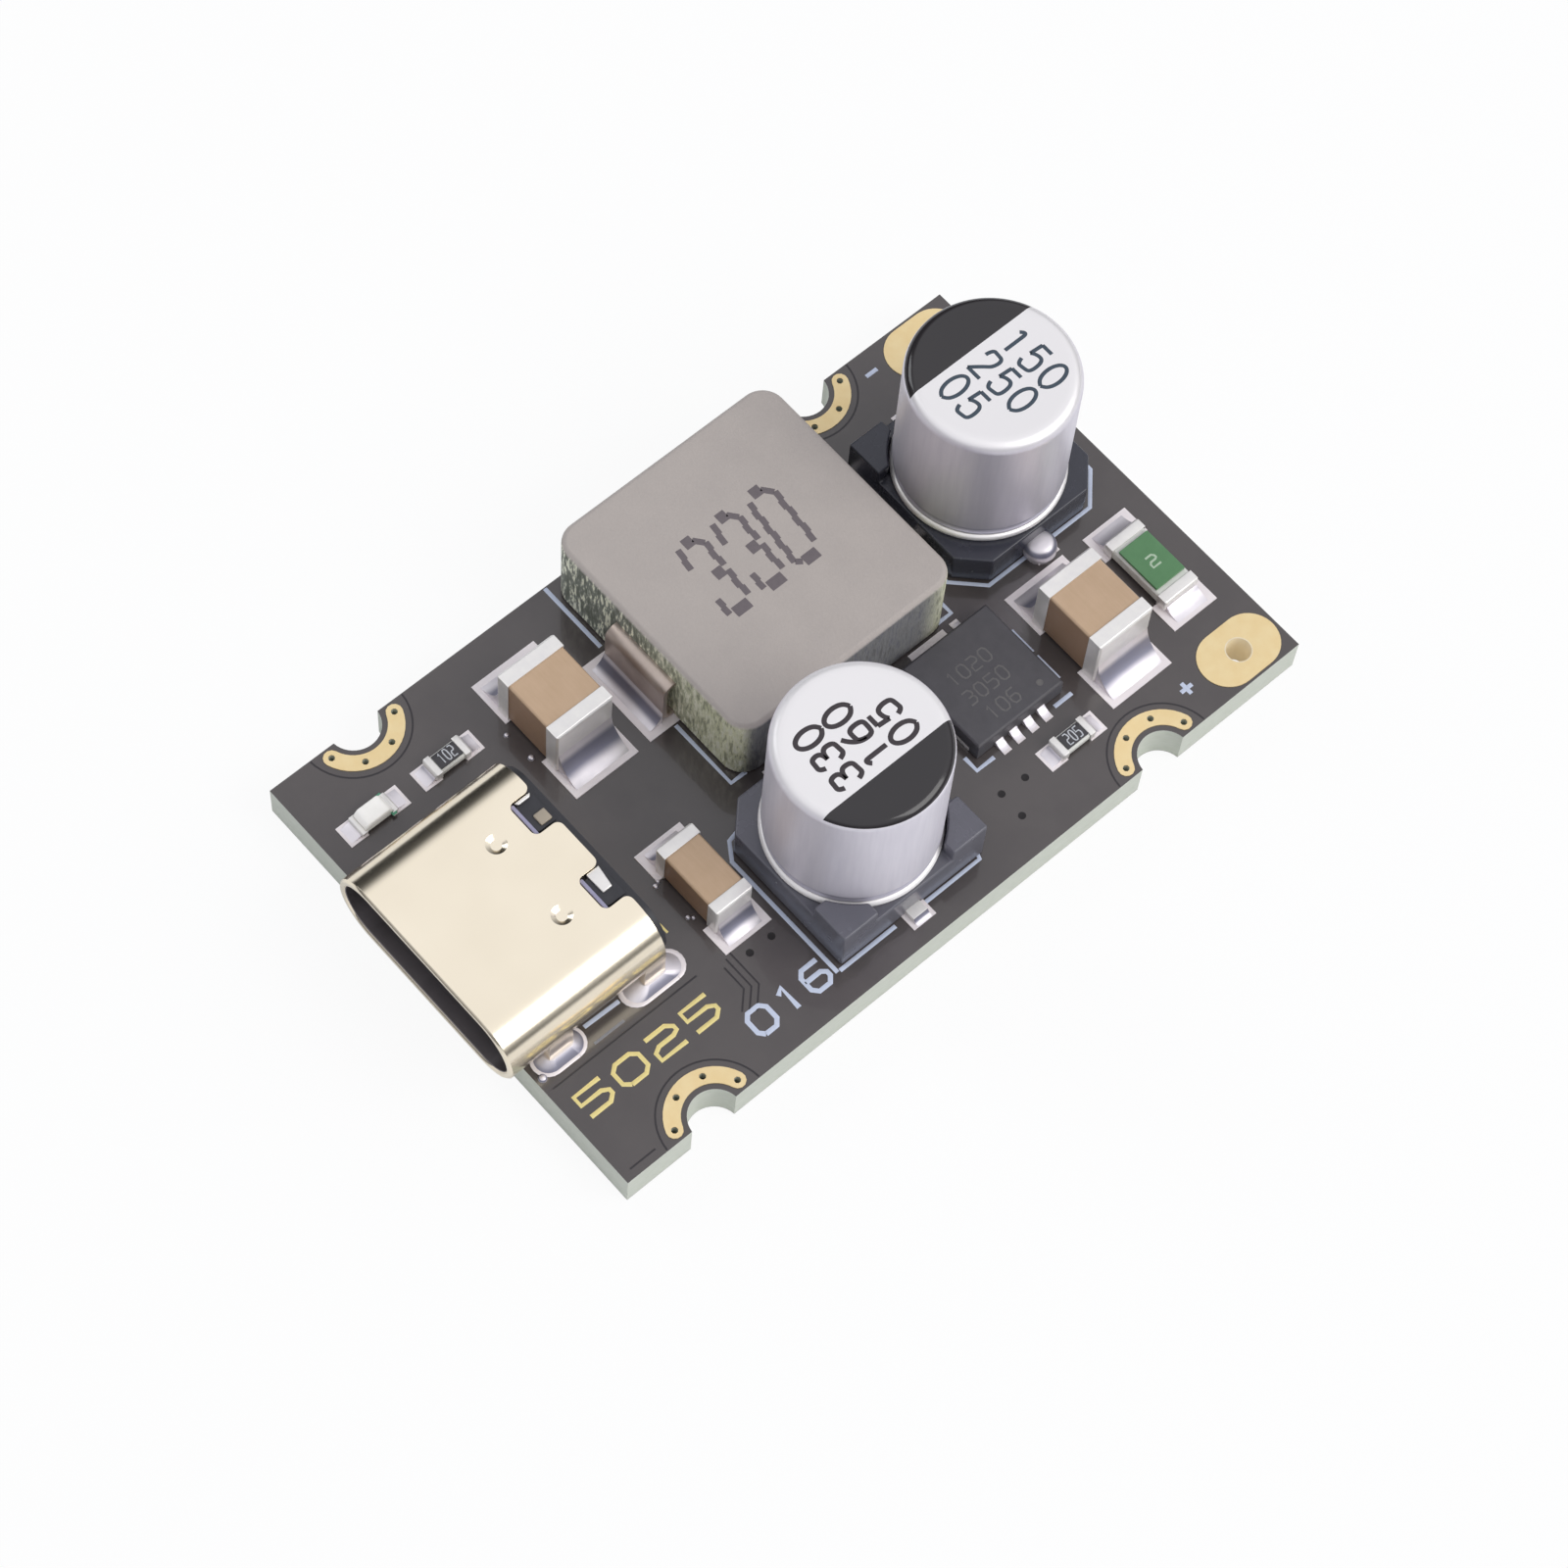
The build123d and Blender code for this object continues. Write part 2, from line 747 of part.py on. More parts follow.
def controller_lead_frame():
    """Pins that end flush with the moulding's sides, and the wide bars behind."""
    half = controller_size / 2
    inset = half - controller_pin_length / 2
    pins = []
    for side in (-1, 1):
        for place in controller_pin_places():
            size = Box(controller_pin_length, controller_pin_width, controller_pin_height)
            pins.append(Pos(side * inset, place, controller_pin_height / 2) * size)
    for x in controller_bar_places():
        for side in (-1, 1):
            size = Box(controller_bar_length, controller_pin_length, controller_pin_height)
            pins.append(Pos(x, side * inset, controller_pin_height / 2) * size)
    return [Pos(controller_x, controller_y, top) * pin for pin in pins]


def controller_body():
    body = Pos(0, 0, controller_height / 2) * Box(controller_size, controller_size, controller_height)
    body = chamfer(body.faces().sort_by(Axis.Z)[-1].edges(), controller_edge)
    return Pos(controller_x, controller_y, top) * body - controller_lead_frame()


def controller_solder():
    """Solder on the lands beside the pins."""
    half = controller_size / 2
    solder = []
    reach = controller_land_reach * solder_spread
    pin_wedge = solder_wedge(reach, controller_solder_height, controller_pin_width)
    for place in controller_pin_places():
        solder.append(Pos(half, place, 0) * pin_wedge)
    solder.append(Pos(-half, controller_pin_places()[-1], 0) * Rot(0, 0, 180) * pin_wedge)
    reach = controller_bar_width * solder_spread
    bar_wedge = solder_wedge(reach, controller_solder_height, controller_bar_length)
    for x in controller_bar_places():
        solder.append(Pos(x, half, 0) * Rot(0, 0, 90) * bar_wedge)
    return [Pos(controller_x, controller_y, top) * s for s in solder]


left_bulk_body, left_bulk_caps = ceramic(
    left_bulk_x, left_bulk_y, bulk_length, bulk_width, bulk_height, bulk_cap)
right_bulk_body, right_bulk_caps = ceramic(
    right_bulk_x, right_bulk_y, bulk_length, bulk_width, bulk_height, bulk_cap)
middle_body, middle_caps = ceramic(
    middle_ceramic_x, middle_ceramic_y, mid_length, mid_width, mid_height, mid_cap)
fuse_body, fuse_cover, fuse_caps = resistor(
    fuse_x, fuse_y, mid_length, mid_width, fuse_height, fuse_cap, fuse_cover_height, False)
led_resistor_body, led_resistor_coat, led_resistor_caps = resistor(
    led_resistor_x, led_resistor_y, small_length, small_width, small_height, small_cap,
    small_cover_height, True)
sense_resistor_body, sense_resistor_coat, sense_resistor_caps = resistor(
    sense_resistor_x, sense_resistor_y, small_length, small_width, small_height, small_cap,
    small_cover_height, True)
led_base, led_lens, led_ends = led()

nodes = {
    "circuit_board": circuit_board(),
    "notch_rings": notch_rings(),
    "power_pads": power_pads(),
    "component_lands": component_lands(),
    "usb_shell": usb_shell(),
    "usb_insulator": usb_insulator(),
    "usb_mid_plate": usb_mid_plate(),
    "usb_upper_contacts": upper_contacts(),
    "usb_lower_contacts": lower_contacts(),
    "usb_leg_solder": usb_leg_solder(),
    "inductor_body": inductor_body(),
    "inductor_straps": inductor_straps(),
    "inductor_solder": strap_solder(),
    "front_capacitor_can": capacitor_can(front_can_x, front_can_y),
    "front_capacitor_base": capacitor_base(front_can_x, front_can_y, -1),
    "front_capacitor_leads": capacitor_leads(front_can_x, front_can_y),
    "rear_capacitor_can": capacitor_can(rear_can_x, rear_can_y),
    "rear_capacitor_base": capacitor_base(rear_can_x, rear_can_y, 1),
    "rear_capacitor_leads": capacitor_leads(rear_can_x, rear_can_y),
    "capacitor_lead_solder": lead_solder(),
    "left_ceramic_body": left_bulk_body,
    "left_ceramic_caps": left_bulk_caps,
    "right_ceramic_body": right_bulk_body,
    "right_ceramic_caps": right_bulk_caps,
    "middle_ceramic_body": middle_body,
    "middle_ceramic_caps": middle_caps,
    "fuse_substrate": fuse_body,
    "fuse_cover": fuse_cover,
    "fuse_caps": fuse_caps,
    "led_resistor_substrate": led_resistor_body,
    "led_resistor_coat": led_resistor_coat,
    "led_resistor_caps": led_resistor_caps,
    "sense_resistor_substrate": sense_resistor_body,
    "sense_resistor_coat": sense_resistor_coat,
    "sense_resistor_caps": sense_resistor_caps,
    "led_substrate": led_base,
    "led_lens": led_lens,
    "led_ends": led_ends,
    "chip_solder": chip_solder(),
    "controller_body": controller_body(),
    "controller_lead_frame": controller_lead_frame(),
    "controller_solder": controller_solder(),
}

for name, shape in nodes.items():
    solids = shape if isinstance(shape, list) else [shape]
    pieces = [solid for item in solids for solid in item.solids()]
    export_step(Compound(children=pieces), f"parts/{name}.step")
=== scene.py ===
import math

import bpy
from mathutils import Matrix, Vector


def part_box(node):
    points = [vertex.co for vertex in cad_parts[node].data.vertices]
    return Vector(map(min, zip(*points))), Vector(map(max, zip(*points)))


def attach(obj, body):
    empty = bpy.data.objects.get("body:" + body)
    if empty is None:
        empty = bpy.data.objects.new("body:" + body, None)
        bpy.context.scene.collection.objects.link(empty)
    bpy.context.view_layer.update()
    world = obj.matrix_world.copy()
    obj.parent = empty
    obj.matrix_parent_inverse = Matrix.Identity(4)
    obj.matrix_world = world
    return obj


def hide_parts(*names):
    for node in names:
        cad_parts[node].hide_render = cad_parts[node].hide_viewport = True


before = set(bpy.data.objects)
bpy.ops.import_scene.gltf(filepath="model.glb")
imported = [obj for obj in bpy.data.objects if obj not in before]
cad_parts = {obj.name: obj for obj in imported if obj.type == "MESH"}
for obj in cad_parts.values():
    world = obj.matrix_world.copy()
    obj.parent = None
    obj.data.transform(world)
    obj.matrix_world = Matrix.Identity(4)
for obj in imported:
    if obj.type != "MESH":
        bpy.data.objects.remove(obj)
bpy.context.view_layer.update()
bpy.ops.object.select_all(action="DESELECT")

MM = 0.001
MASK_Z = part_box("circuit_board")[1].z
SHELL_HEIGHT = 3.16 * MM
SHEET_THICKNESS = 0.28 * MM


# Materials: a finish is a tree of nodes, and a wire is the value that comes out of one node

class Wire:
    """A node's output. Sums, products and comparisons on it add Math nodes."""

    def __init__(self, nodes, socket):
        self.nodes = nodes
        self.socket = socket

    def beside(self, output):
        """Another output of the same node."""
        return Wire(self.nodes, self.socket.node.outputs[output])

    def maths(self, operation, first, second=None):
        values = {0: first} if second is None else {0: first, 1: second}
        return self.nodes.node("ShaderNodeMath", {"operation": operation}, values)

    def __add__(self, other):
        return self.maths("ADD", self, other)

    def __sub__(self, other):
        return self.maths("SUBTRACT", self, other)

    def __mul__(self, other):
        return self.maths("MULTIPLY", self, other)

    def __pow__(self, other):
        return self.maths("POWER", self, other)

    def __lt__(self, other):
        return self.maths("LESS_THAN", self, other)

    def __gt__(self, other):
        return self.maths("GREATER_THAN", self, other)

    def __radd__(self, other):
        return self.maths("ADD", other, self)

    def __rsub__(self, other):
        return self.maths("SUBTRACT", other, self)

    def __rmul__(self, other):
        return self.maths("MULTIPLY", other, self)

    def __abs__(self):
        return self.maths("ABSOLUTE", self)

    def most(self, other):
        return self.maths("MAXIMUM", self, other)

    def root(self):
        return self.maths("SQRT", self)

    def fade(self, low, high, start=0.0, end=1.0):
        """The start at the low value and the end at the high one, smoothly between."""
        settings = {"interpolation_type": "SMOOTHSTEP"}
        inputs = {0: self, 1: low, 2: high, 3: start, 4: end}
        return self.nodes.node("ShaderNodeMapRange", settings, inputs)


class Nodes:
    """A tree of shader nodes, with the one way in which every node is added to it."""

    def __init__(self, owner):
        owner.use_nodes = True
        self.tree = owner.node_tree
        self.tree.nodes.clear()

    def node(self, kind, settings=None, inputs=None, output=0):
        made = self.tree.nodes.new(kind)
        for key, value in (settings or {}).items():
            setattr(made, key, value)
        for key, value in (inputs or {}).items():
            if isinstance(value, Wire):
                self.tree.links.new(value.socket, made.inputs[key])
            else:
                made.inputs[key].default_value = value
        return Wire(self, made.outputs[output]) if made.outputs else None


class Finish(Nodes):
    """A material, with the few moves that the finishes below are made of."""

    def __init__(self, name):
        self.material = bpy.data.materials.new(name)
        super().__init__(self.material)

    def place(self):
        """The point on the surface, in the part's own frame."""
        return self.node("ShaderNodeTexCoord", output="Object")

    def axes(self):
        x = self.node("ShaderNodeSeparateXYZ", inputs={0: self.place()})
        return [x, x.beside(1), x.beside(2)]

    def levelness(self):
        """1 where the surface faces up and 0 where it stands upright."""
        normal = self.node("ShaderNodeTexCoord", output="Normal")
        return self.node("ShaderNodeSeparateXYZ", inputs={0: normal}, output=2)

    def stretched(self, scale):
        return self.node("ShaderNodeMapping", {"vector_type": "POINT"},
                         {"Vector": self.place(), "Scale": scale})

    def noise(self, size, detail=3.0, roughness=0.55, scale=None):
        """Soft mottling whose grains are about the given size."""
        vector = self.stretched(scale) if scale else self.place()
        inputs = {"Vector": vector, "Scale": 1 / size, "Detail": detail, "Roughness": roughness}
        return self.node("ShaderNodeTexNoise", inputs=inputs)

    def blend(self, share, first, second):
        """The first colour at 0 and the second at 1."""
        return self.node("ShaderNodeMix", {"data_type": "RGBA"},
                         {"Factor": share, "A": first, "B": second}, output="Result")

    def bump(self, height, depth, strength=1.0):
        inputs = {"Height": height, "Distance": depth, "Strength": strength}
        return self.node("ShaderNodeBump", inputs=inputs, output="Normal")

    def shade(self, **inputs):
        """Ends the tree in one shader. Underscores in a socket's name stand for spaces."""
        values = {key.replace("_", " "): value for key, value in inputs.items()}
        return self.show(self.node("ShaderNodeBsdfPrincipled", inputs=values, output="BSDF"))

    def show(self, shader):
        self.node("ShaderNodeOutputMaterial", inputs={"Surface": shader})
        return self.material


def tint(red, green, blue):
    """A colour given as it looks on screen, from 0 to 255."""
    def linear(value):
        value /= 255
        return value / 12.92 if value <= 0.04045 else ((value + 0.055) / 1.055) ** 2.4
    return (linear(red), linear(green), linear(blue), 1.0)


MASK_DARK = tint(67, 61, 61)
MASK_POUR = tint(77, 71, 70)
FIBRE = tint(208, 210, 202)
GOLD = tint(246, 226, 178)


def solder_mask():
    """Dark glossy lacquer on both faces, with the pale glass fibre showing at every edge."""
    f = Finish("dark solder mask")
    z = f.axes()[2]
    lower_skin, upper_skin = 0.015 * MM, MASK_Z - 0.012 * MM
    edge = (z > lower_skin) * (z < upper_skin)
    weave = f.noise(0.35 * MM, scale=(1.0, 1.0, 5.0))
    fibre = f.blend(weave, FIBRE, tint(186, 192, 176))
    mottle = f.noise(2.5 * MM).fade(0.35, 0.65)
    mask = f.blend(mottle * 0.5, MASK_POUR, MASK_DARK)
    colour = f.blend(edge, mask, fibre)
    ripple = f.noise(0.5 * MM, detail=2.0)
    return f.shade(Base_Color=colour, Roughness=0.2 + edge * 0.4, Coat_Weight=0.55 - edge * 0.55,
                   Coat_Roughness=0.04, Normal=f.bump(ripple, 0.004 * MM, 0.35))


def gold_plate():
    f = Finish("plated gold")
    cloud = f.noise(0.5 * MM)
    colour = f.blend(cloud, GOLD, tint(236, 207, 150))
    grain = f.noise(0.05 * MM)
    return f.shade(Base_Color=colour, Metallic=0.45, Roughness=0.38 + cloud * 0.15,
                   Normal=f.bump(grain, 0.004 * MM, 0.4))


def tinned_land():
    """The levelled tin on a land: pale, slightly uneven, with soft swells."""
    f = Finish("levelled tin")
    cloud = f.noise(0.7 * MM)
    colour = f.blend(cloud, tint(248, 240, 239), tint(236, 228, 230))
    swell = f.noise(0.6 * MM, detail=1.0)
    return f.shade(Base_Color=colour, Metallic=0.12, Roughness=0.34 + cloud * 0.15,
                   Normal=f.bump(swell, 0.02 * MM, 0.4))


def bright_solder():
    """Solder that is pale where it lies flat or stands upright, with a painted reflection on its slopes: a
    dusky blue band.
    """
    f = Finish("bright solder")
    cloud = f.noise(0.4 * MM)
    swell = f.noise(0.8 * MM, detail=1.0)
    level = f.levelness()
    # Painted reflection: the slopes are darkened to a dusky blue, as if mirroring dark surroundings.
    slope = level.fade(0.3, 0.5) * level.fade(0.88, 0.7)
    plain = f.blend(cloud, tint(236, 231, 234), tint(223, 218, 224))
    return f.shade(Base_Color=f.blend(slope * 0.75, plain, tint(92, 96, 124)), Metallic=0.7,
                   Roughness=0.42 + cloud * 0.1, Normal=f.bump(swell, 0.012 * MM, 0.25))


def nickel_sheet():
    """The port's drawn shell: warm nickel, almost a mirror outside, and rougher inside, where its grey is
    painted shade.
    """
    f = Finish("warm nickel")
    x, _, z = f.axes()
    low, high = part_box("usb_shell")
    axis_z = high.z - SHELL_HEIGHT / 2
    past_flat = (abs(x) - (high.x - low.x - SHELL_HEIGHT) / 2).most(0.0)
    from_axis = (past_flat ** 2 + (z - axis_z) ** 2).root()
    # Inside the shell the colour is painted shade, a grey in place of the shade in the port's mouth; it is
    # also rougher there.
    within = from_axis < SHELL_HEIGHT / 2 - SHEET_THICKNESS
    marks = f.noise(0.25 * MM, scale=(1.0, 0.06, 1.0))
    cloud = f.noise(3.0 * MM, detail=2.0)
    outside = f.blend(cloud, tint(252, 241, 219), tint(242, 230, 207))
    colour = f.blend(within, outside, tint(134, 128, 130))
    return f.shade(Base_Color=colour, Metallic=1.0, Roughness=0.14 + marks * 0.1 + within * 0.25,
                   Normal=f.bump(marks, 0.006 * MM, 0.3))


def contact_gold():
    f = Finish("contact gold")
    cloud = f.noise(0.3 * MM)
    return f.shade(Base_Color=f.blend(cloud, tint(236, 196, 116), tint(222, 180, 100)),
                   Metallic=1.0, Roughness=0.2 + cloud * 0.1)


def port_moulding():
    f = Finish("black glass-filled moulding")
    cloud = f.noise(0.4 * MM)
    grain = f.noise(0.06 * MM)
    return f.shade(Base_Color=f.blend(cloud, tint(38, 38, 42), tint(52, 52, 58)),
                   Roughness=0.42 + cloud * 0.15, Normal=f.bump(grain, 0.008 * MM, 0.5))


def pressed_powder():
    """Pressed metal powder: a sanded taupe top, and sides with green-grey glints dragged upwards."""
    f = Finish("pressed metal powder")
    low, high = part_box("inductor_body")
    x, y, z = f.axes()
    shoulder_low, shoulder_high = high.z - 0.25 * MM, high.z - 0.08 * MM
    crown = z.fade(shoulder_low, shoulder_high)
    cloud = f.noise(1.4 * MM)
    speck = f.noise(0.09 * MM, detail=4.0)
    top = f.blend(cloud * 0.6 + speck * 0.4, tint(186, 177, 170), tint(168, 160, 155))
    drag = f.noise(0.12 * MM, detail=4.0, scale=(1.0, 1.0, 0.22))
    glint = drag.fade(0.5, 0.62)
    pit = drag.fade(0.47, 0.38)
    green = f.noise(0.9 * MM, detail=1.0)
    # Painted light and shade: the sides are painted darker at the left end and lighter towards the right
    # end.
    dim_until, lit_from = low.x + 3.5 * MM, high.x - 1.5 * MM
    along = x.fade(dim_until, lit_from)
    dim = f.blend(green, tint(134, 137, 128), tint(104, 110, 98))
    lit = f.blend(green, tint(232, 232, 200), tint(186, 188, 154))
    foil = f.blend(glint, f.blend(along, dim, lit), tint(250, 250, 226))
    # Painted shadow: the right-hand face is darkened to blue-grey where the front can shades it.
    right_face = x.fade(high.x - 0.3 * MM, high.x - 0.02 * MM)
    near_can = y.fade(6.6 * MM, 5.0 * MM)
    shaded = right_face * near_can
    side = f.blend(shaded * 0.85, f.blend(pit * 0.55, foil, tint(76, 78, 62)), tint(96, 96, 110))
    height = speck * crown + drag * (1 - crown) * 1.6
    return f.shade(Base_Color=f.blend(crown, side, top), Roughness=0.62 - glint * (1 - crown) * 0.25,
                   Metallic=glint * (1 - crown) * 0.4, Normal=f.bump(height, 0.03 * MM, 0.5))


def strap_copper():
    f = Finish("tinned copper strap")
    cloud = f.noise(0.9 * MM)
    grain = f.noise(0.15 * MM, scale=(1.0, 1.0, 0.3))
    return f.shade(Base_Color=f.blend(cloud, tint(204, 190, 180), tint(172, 156, 146)), Metallic=0.75,
                   Roughness=0.28 + cloud * 0.15, Normal=f.bump(grain, 0.01 * MM, 0.4))


CAN_LIP_TOP = 3.36 * MM
CAN_GROOVE_LOW = 3.7 * MM
CAN_GROOVE_HIGH = 3.9 * MM
INK_DROP = 0.22 * MM
INK_ROUGHNESS = 0.14


def can_aluminium(name, centre, top_z, ink_side, chord, mirror):
    """Drawn aluminium, with a black half-moon inked over the top and round the shoulder."""
    f = Finish(name)
    x, _, z = f.axes()
    inked = ((x - centre.x) * ink_side > chord) * (z > top_z - INK_DROP)
    # Painted light: the top and its shoulder are painted paler than the wall, as the bright overhead lights
    # them.
    crown = z.fade(top_z - 0.35 * MM, top_z - 0.02 * MM)
    drawn = f.noise(0.2 * MM, scale=(1.0, 1.0, 0.08))
    wall = f.blend(drawn, tint(226, 222, 230), tint(208, 204, 214))
    # Painted highlight: the lip at the foot is painted near white.
    rolled = f.blend(z < CAN_LIP_TOP, wall, tint(244, 241, 240))
    # Painted shade: the wall darkens to blue-grey in the groove above the lip.
    groove = z.fade(CAN_GROOVE_HIGH, CAN_GROOVE_LOW) * (z > CAN_LIP_TOP)
    shaded = f.blend(groove * 0.5, rolled, tint(140, 138, 158))
    bare = f.blend(crown, shaded, tint(240, 237, 237))
    colour = f.blend(inked, bare, tint(44, 41, 43))
    rough = 0.36 + drawn * 0.12
    return f.shade(Base_Color=colour, Metallic=mirror - inked * mirror,
                   Roughness=rough - inked * (rough - INK_ROUGHNESS),
                   Normal=f.bump(drawn, 0.006 * MM, 0.3))


def base_plastic(name, light, dark):
    f = Finish(name)
    cloud = f.noise(0.8 * MM)
    grain = f.noise(0.08 * MM)
    return f.shade(Base_Color=f.blend(cloud, light, dark),
                   Roughness=0.2 + cloud * 0.12, Normal=f.bump(grain, 0.006 * MM, 0.4))


def fired_ceramic(name, top_z):
    """Tan fired ceramic with faint layer lines along its length, and walls painted browner as painted shade.
    """
    f = Finish(name)
    # Painted shade: the walls below the top are darkened to brown.
    wall_high, wall_low = top_z - 0.03 * MM, top_z - 0.12 * MM
    wall = f.axes()[2].fade(wall_high, wall_low)
    cloud = f.noise(0.8 * MM)
    layers = f.noise(0.1 * MM, scale=(0.1, 1.0, 1.0))
    share = cloud * 0.6 + layers * 0.4
    tan = f.blend(share, tint(206, 177, 148), tint(182, 153, 122))
    return f.shade(Base_Color=f.blend(wall * 0.85, tan, tint(140, 110, 88)),
                   Roughness=0.38 + cloud * 0.1, Normal=f.bump(layers, 0.008 * MM, 0.4))


def plated_end():
    f = Finish("plated chip end")
    cloud = f.noise(0.3 * MM)
    swell = f.noise(0.35 * MM, detail=1.0)
    return f.shade(Base_Color=f.blend(cloud, tint(244, 241, 235), tint(228, 225, 224)), Metallic=0.45,
                   Roughness=0.26 + cloud * 0.15, Normal=f.bump(swell, 0.014 * MM, 0.35))


def plain_coat(name, light, dark, roughness, grain_size, coat=0.0, glow=0.0):
    """A fired or moulded skin of one colour, with cloud in the colour and grain in the surface."""
    f = Finish(name)
    cloud = f.noise(0.5 * MM)
    grain = f.noise(grain_size)
    colour = f.blend(cloud, light, dark)
    # A glow above zero is painted light: the skin gives off its own colour.
    return f.shade(Base_Color=colour, Roughness=roughness + cloud * 0.12, Coat_Weight=coat,
                   Coat_Roughness=0.08, Emission_Color=colour, Emission_Strength=glow,
                   Normal=f.bump(grain, 0.006 * MM, 0.5))


def lens_resin():
    f = Finish("milky lens resin")
    cloud = f.noise(0.3 * MM)
    milk = f.blend(cloud, tint(252, 249, 245), tint(240, 238, 232))
    # Painted light: the milky resin glows faintly in its own colour, though nothing lights it from within.
    return f.shade(Base_Color=milk, Roughness=0.16 + cloud * 0.1, Coat_Weight=0.6,
                   Coat_Roughness=0.05, Emission_Color=milk, Emission_Strength=0.1)


def ink(name, light, dark, roughness, metallic=0.0):
    f = Finish(name)
    cloud = f.noise(0.12 * MM)
    return f.shade(Base_Color=f.blend(cloud, light, dark), Roughness=roughness + cloud * 0.1,
                   Metallic=metallic)


# Modelling moves

def only(piece):
    """Selects one piece and makes it the active one."""
    bpy.ops.object.select_all(action="DESELECT")
    piece.select_set(True)
    bpy.context.view_layer.objects.active = piece


def apply_modifier(piece, kind, **settings):
    modifier = piece.modifiers.new(kind.lower(), kind)
    for key, value in settings.items():
        setattr(modifier, key, value)
    only(piece)
    bpy.ops.object.modifier_apply(modifier=modifier.name)


def round_edges(piece, width, segments=2, limit=28):
    apply_modifier(piece, "BEVEL", width=width, segments=segments, limit_method="ANGLE",
                   angle_limit=math.radians(limit), use_clamp_overlap=True)


WELD = 0.0005 * MM


def settle(piece, material, angle=40):
    """Gives a modelled piece its finish and smooth shading, and lets it ride with the board."""
    piece.data.materials.clear()
    piece.data.materials.append(material)
    only(piece)
    bpy.ops.object.transform_apply(location=True, rotation=True, scale=True)
    bpy.ops.object.shade_smooth_by_angle(angle=math.radians(angle))
    apply_modifier(piece, "WEIGHTED_NORMAL", keep_sharp=True, weight=80)
    bpy.ops.object.select_all(action="DESELECT")
    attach(piece, "root")
    return piece


def join(name, pieces):
    only(pieces[0])
    for piece in pieces:
        piece.select_set(True)
    bpy.ops.object.join()
    pieces[0].name = name
    return pieces[0]


def eased(node, material, edge, segments=2, limit=28, shape=None):
    """The node's own shape with its sharp edges rounded off, after any shaping of its own."""
    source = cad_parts[node]
    mesh = source.data.copy()
    piece = bpy.data.objects.new(node + "_finished", mesh)
    bpy.context.scene.collection.objects.link(piece)
    piece.matrix_world = source.matrix_world
    only(piece)
    bpy.ops.object.transform_apply(location=True, rotation=True, scale=True)
    bpy.ops.mesh.customdata_custom_splitnormals_clear()
    bpy.ops.object.mode_set(mode="EDIT")
    bpy.ops.mesh.select_all(action="SELECT")
    bpy.ops.mesh.remove_doubles(threshold=WELD)
    bpy.ops.mesh.dissolve_limited(angle_limit=math.radians(0.5))
    bpy.ops.object.mode_set(mode="OBJECT")
    if shape:
        shape(piece)
    round_edges(piece, edge, segments, limit)
    settle(piece, material)
    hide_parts(node)
    return piece


def dress(node, material):
    """The CAD node stays as it is and takes a finish."""
    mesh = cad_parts[node].data
    mesh.materials.clear()
    mesh.materials.append(material)


def select_faces(piece, wanted):
    """Back in edit mode with just the faces that a test picks."""
    bpy.ops.object.mode_set(mode="OBJECT")
    for vertex in piece.data.vertices:
        vertex.select = False
    for edge in piece.data.edges:
        edge.select = False
    for face in piece.data.polygons:
        face.select = wanted(face)
    bpy.ops.object.mode_set(mode="EDIT")
    bpy.ops.mesh.select_mode(type="FACE")


def block(name, low, high):
    """A cube stretched between two corners, in millimetres, as the start of a piece."""
    low, high = Vector(low) * MM, Vector(high) * MM
    bpy.ops.mesh.primitive_cube_add(size=1.0, location=(low + high) / 2, scale=high - low)
    piece = bpy.context.object
    piece.name = name
    bpy.ops.object.transform_apply(location=True, rotation=True, scale=True)
    return piece


def lathe(name, profile, centre, steps=96):
    """Turns a profile of radius and height, in millimetres, round an upright axis."""
    bpy.ops.object.select_all(action="DESELECT")
    bpy.ops.mesh.primitive_plane_add(size=1.0 * MM, location=(0, 0, 0))
    piece = bpy.context.object
    piece.name = name
    bpy.ops.object.mode_set(mode="EDIT")
    bpy.ops.mesh.select_mode(type="VERT")
    bpy.ops.mesh.select_all(action="SELECT")
    bpy.ops.mesh.merge(type="CENTER")
    radius, height = profile[0]
    bpy.ops.transform.translate(value=(centre[0] * MM + radius * MM, centre[1] * MM, height * MM))
    for (r, z), (next_r, next_z) in zip(profile, profile[1:]):
        step = ((next_r - r) * MM, 0, (next_z - z) * MM)
        bpy.ops.mesh.extrude_region_move(TRANSFORM_OT_translate={"value": step})
    bpy.ops.mesh.select_all(action="SELECT")
    bpy.ops.mesh.spin(steps=steps, angle=math.tau, axis=(0, 0, 1),
                      center=(centre[0] * MM, centre[1] * MM, 0))
    bpy.ops.mesh.select_all(action="SELECT")
    bpy.ops.mesh.remove_doubles(threshold=WELD)
    bpy.ops.mesh.normals_make_consistent(inside=False)
    bpy.ops.object.mode_set(mode="OBJECT")
    return piece


def arc(centre_r, centre_z, radius, start, end, steps):
    """Points of a lathe profile along a round, with the angles in degrees."""
    turns = [math.radians(start + (end - start) * i / steps) for i in range(steps + 1)]
    return [(centre_r + radius * math.cos(a), centre_z + radius * math.sin(a)) for a in turns]


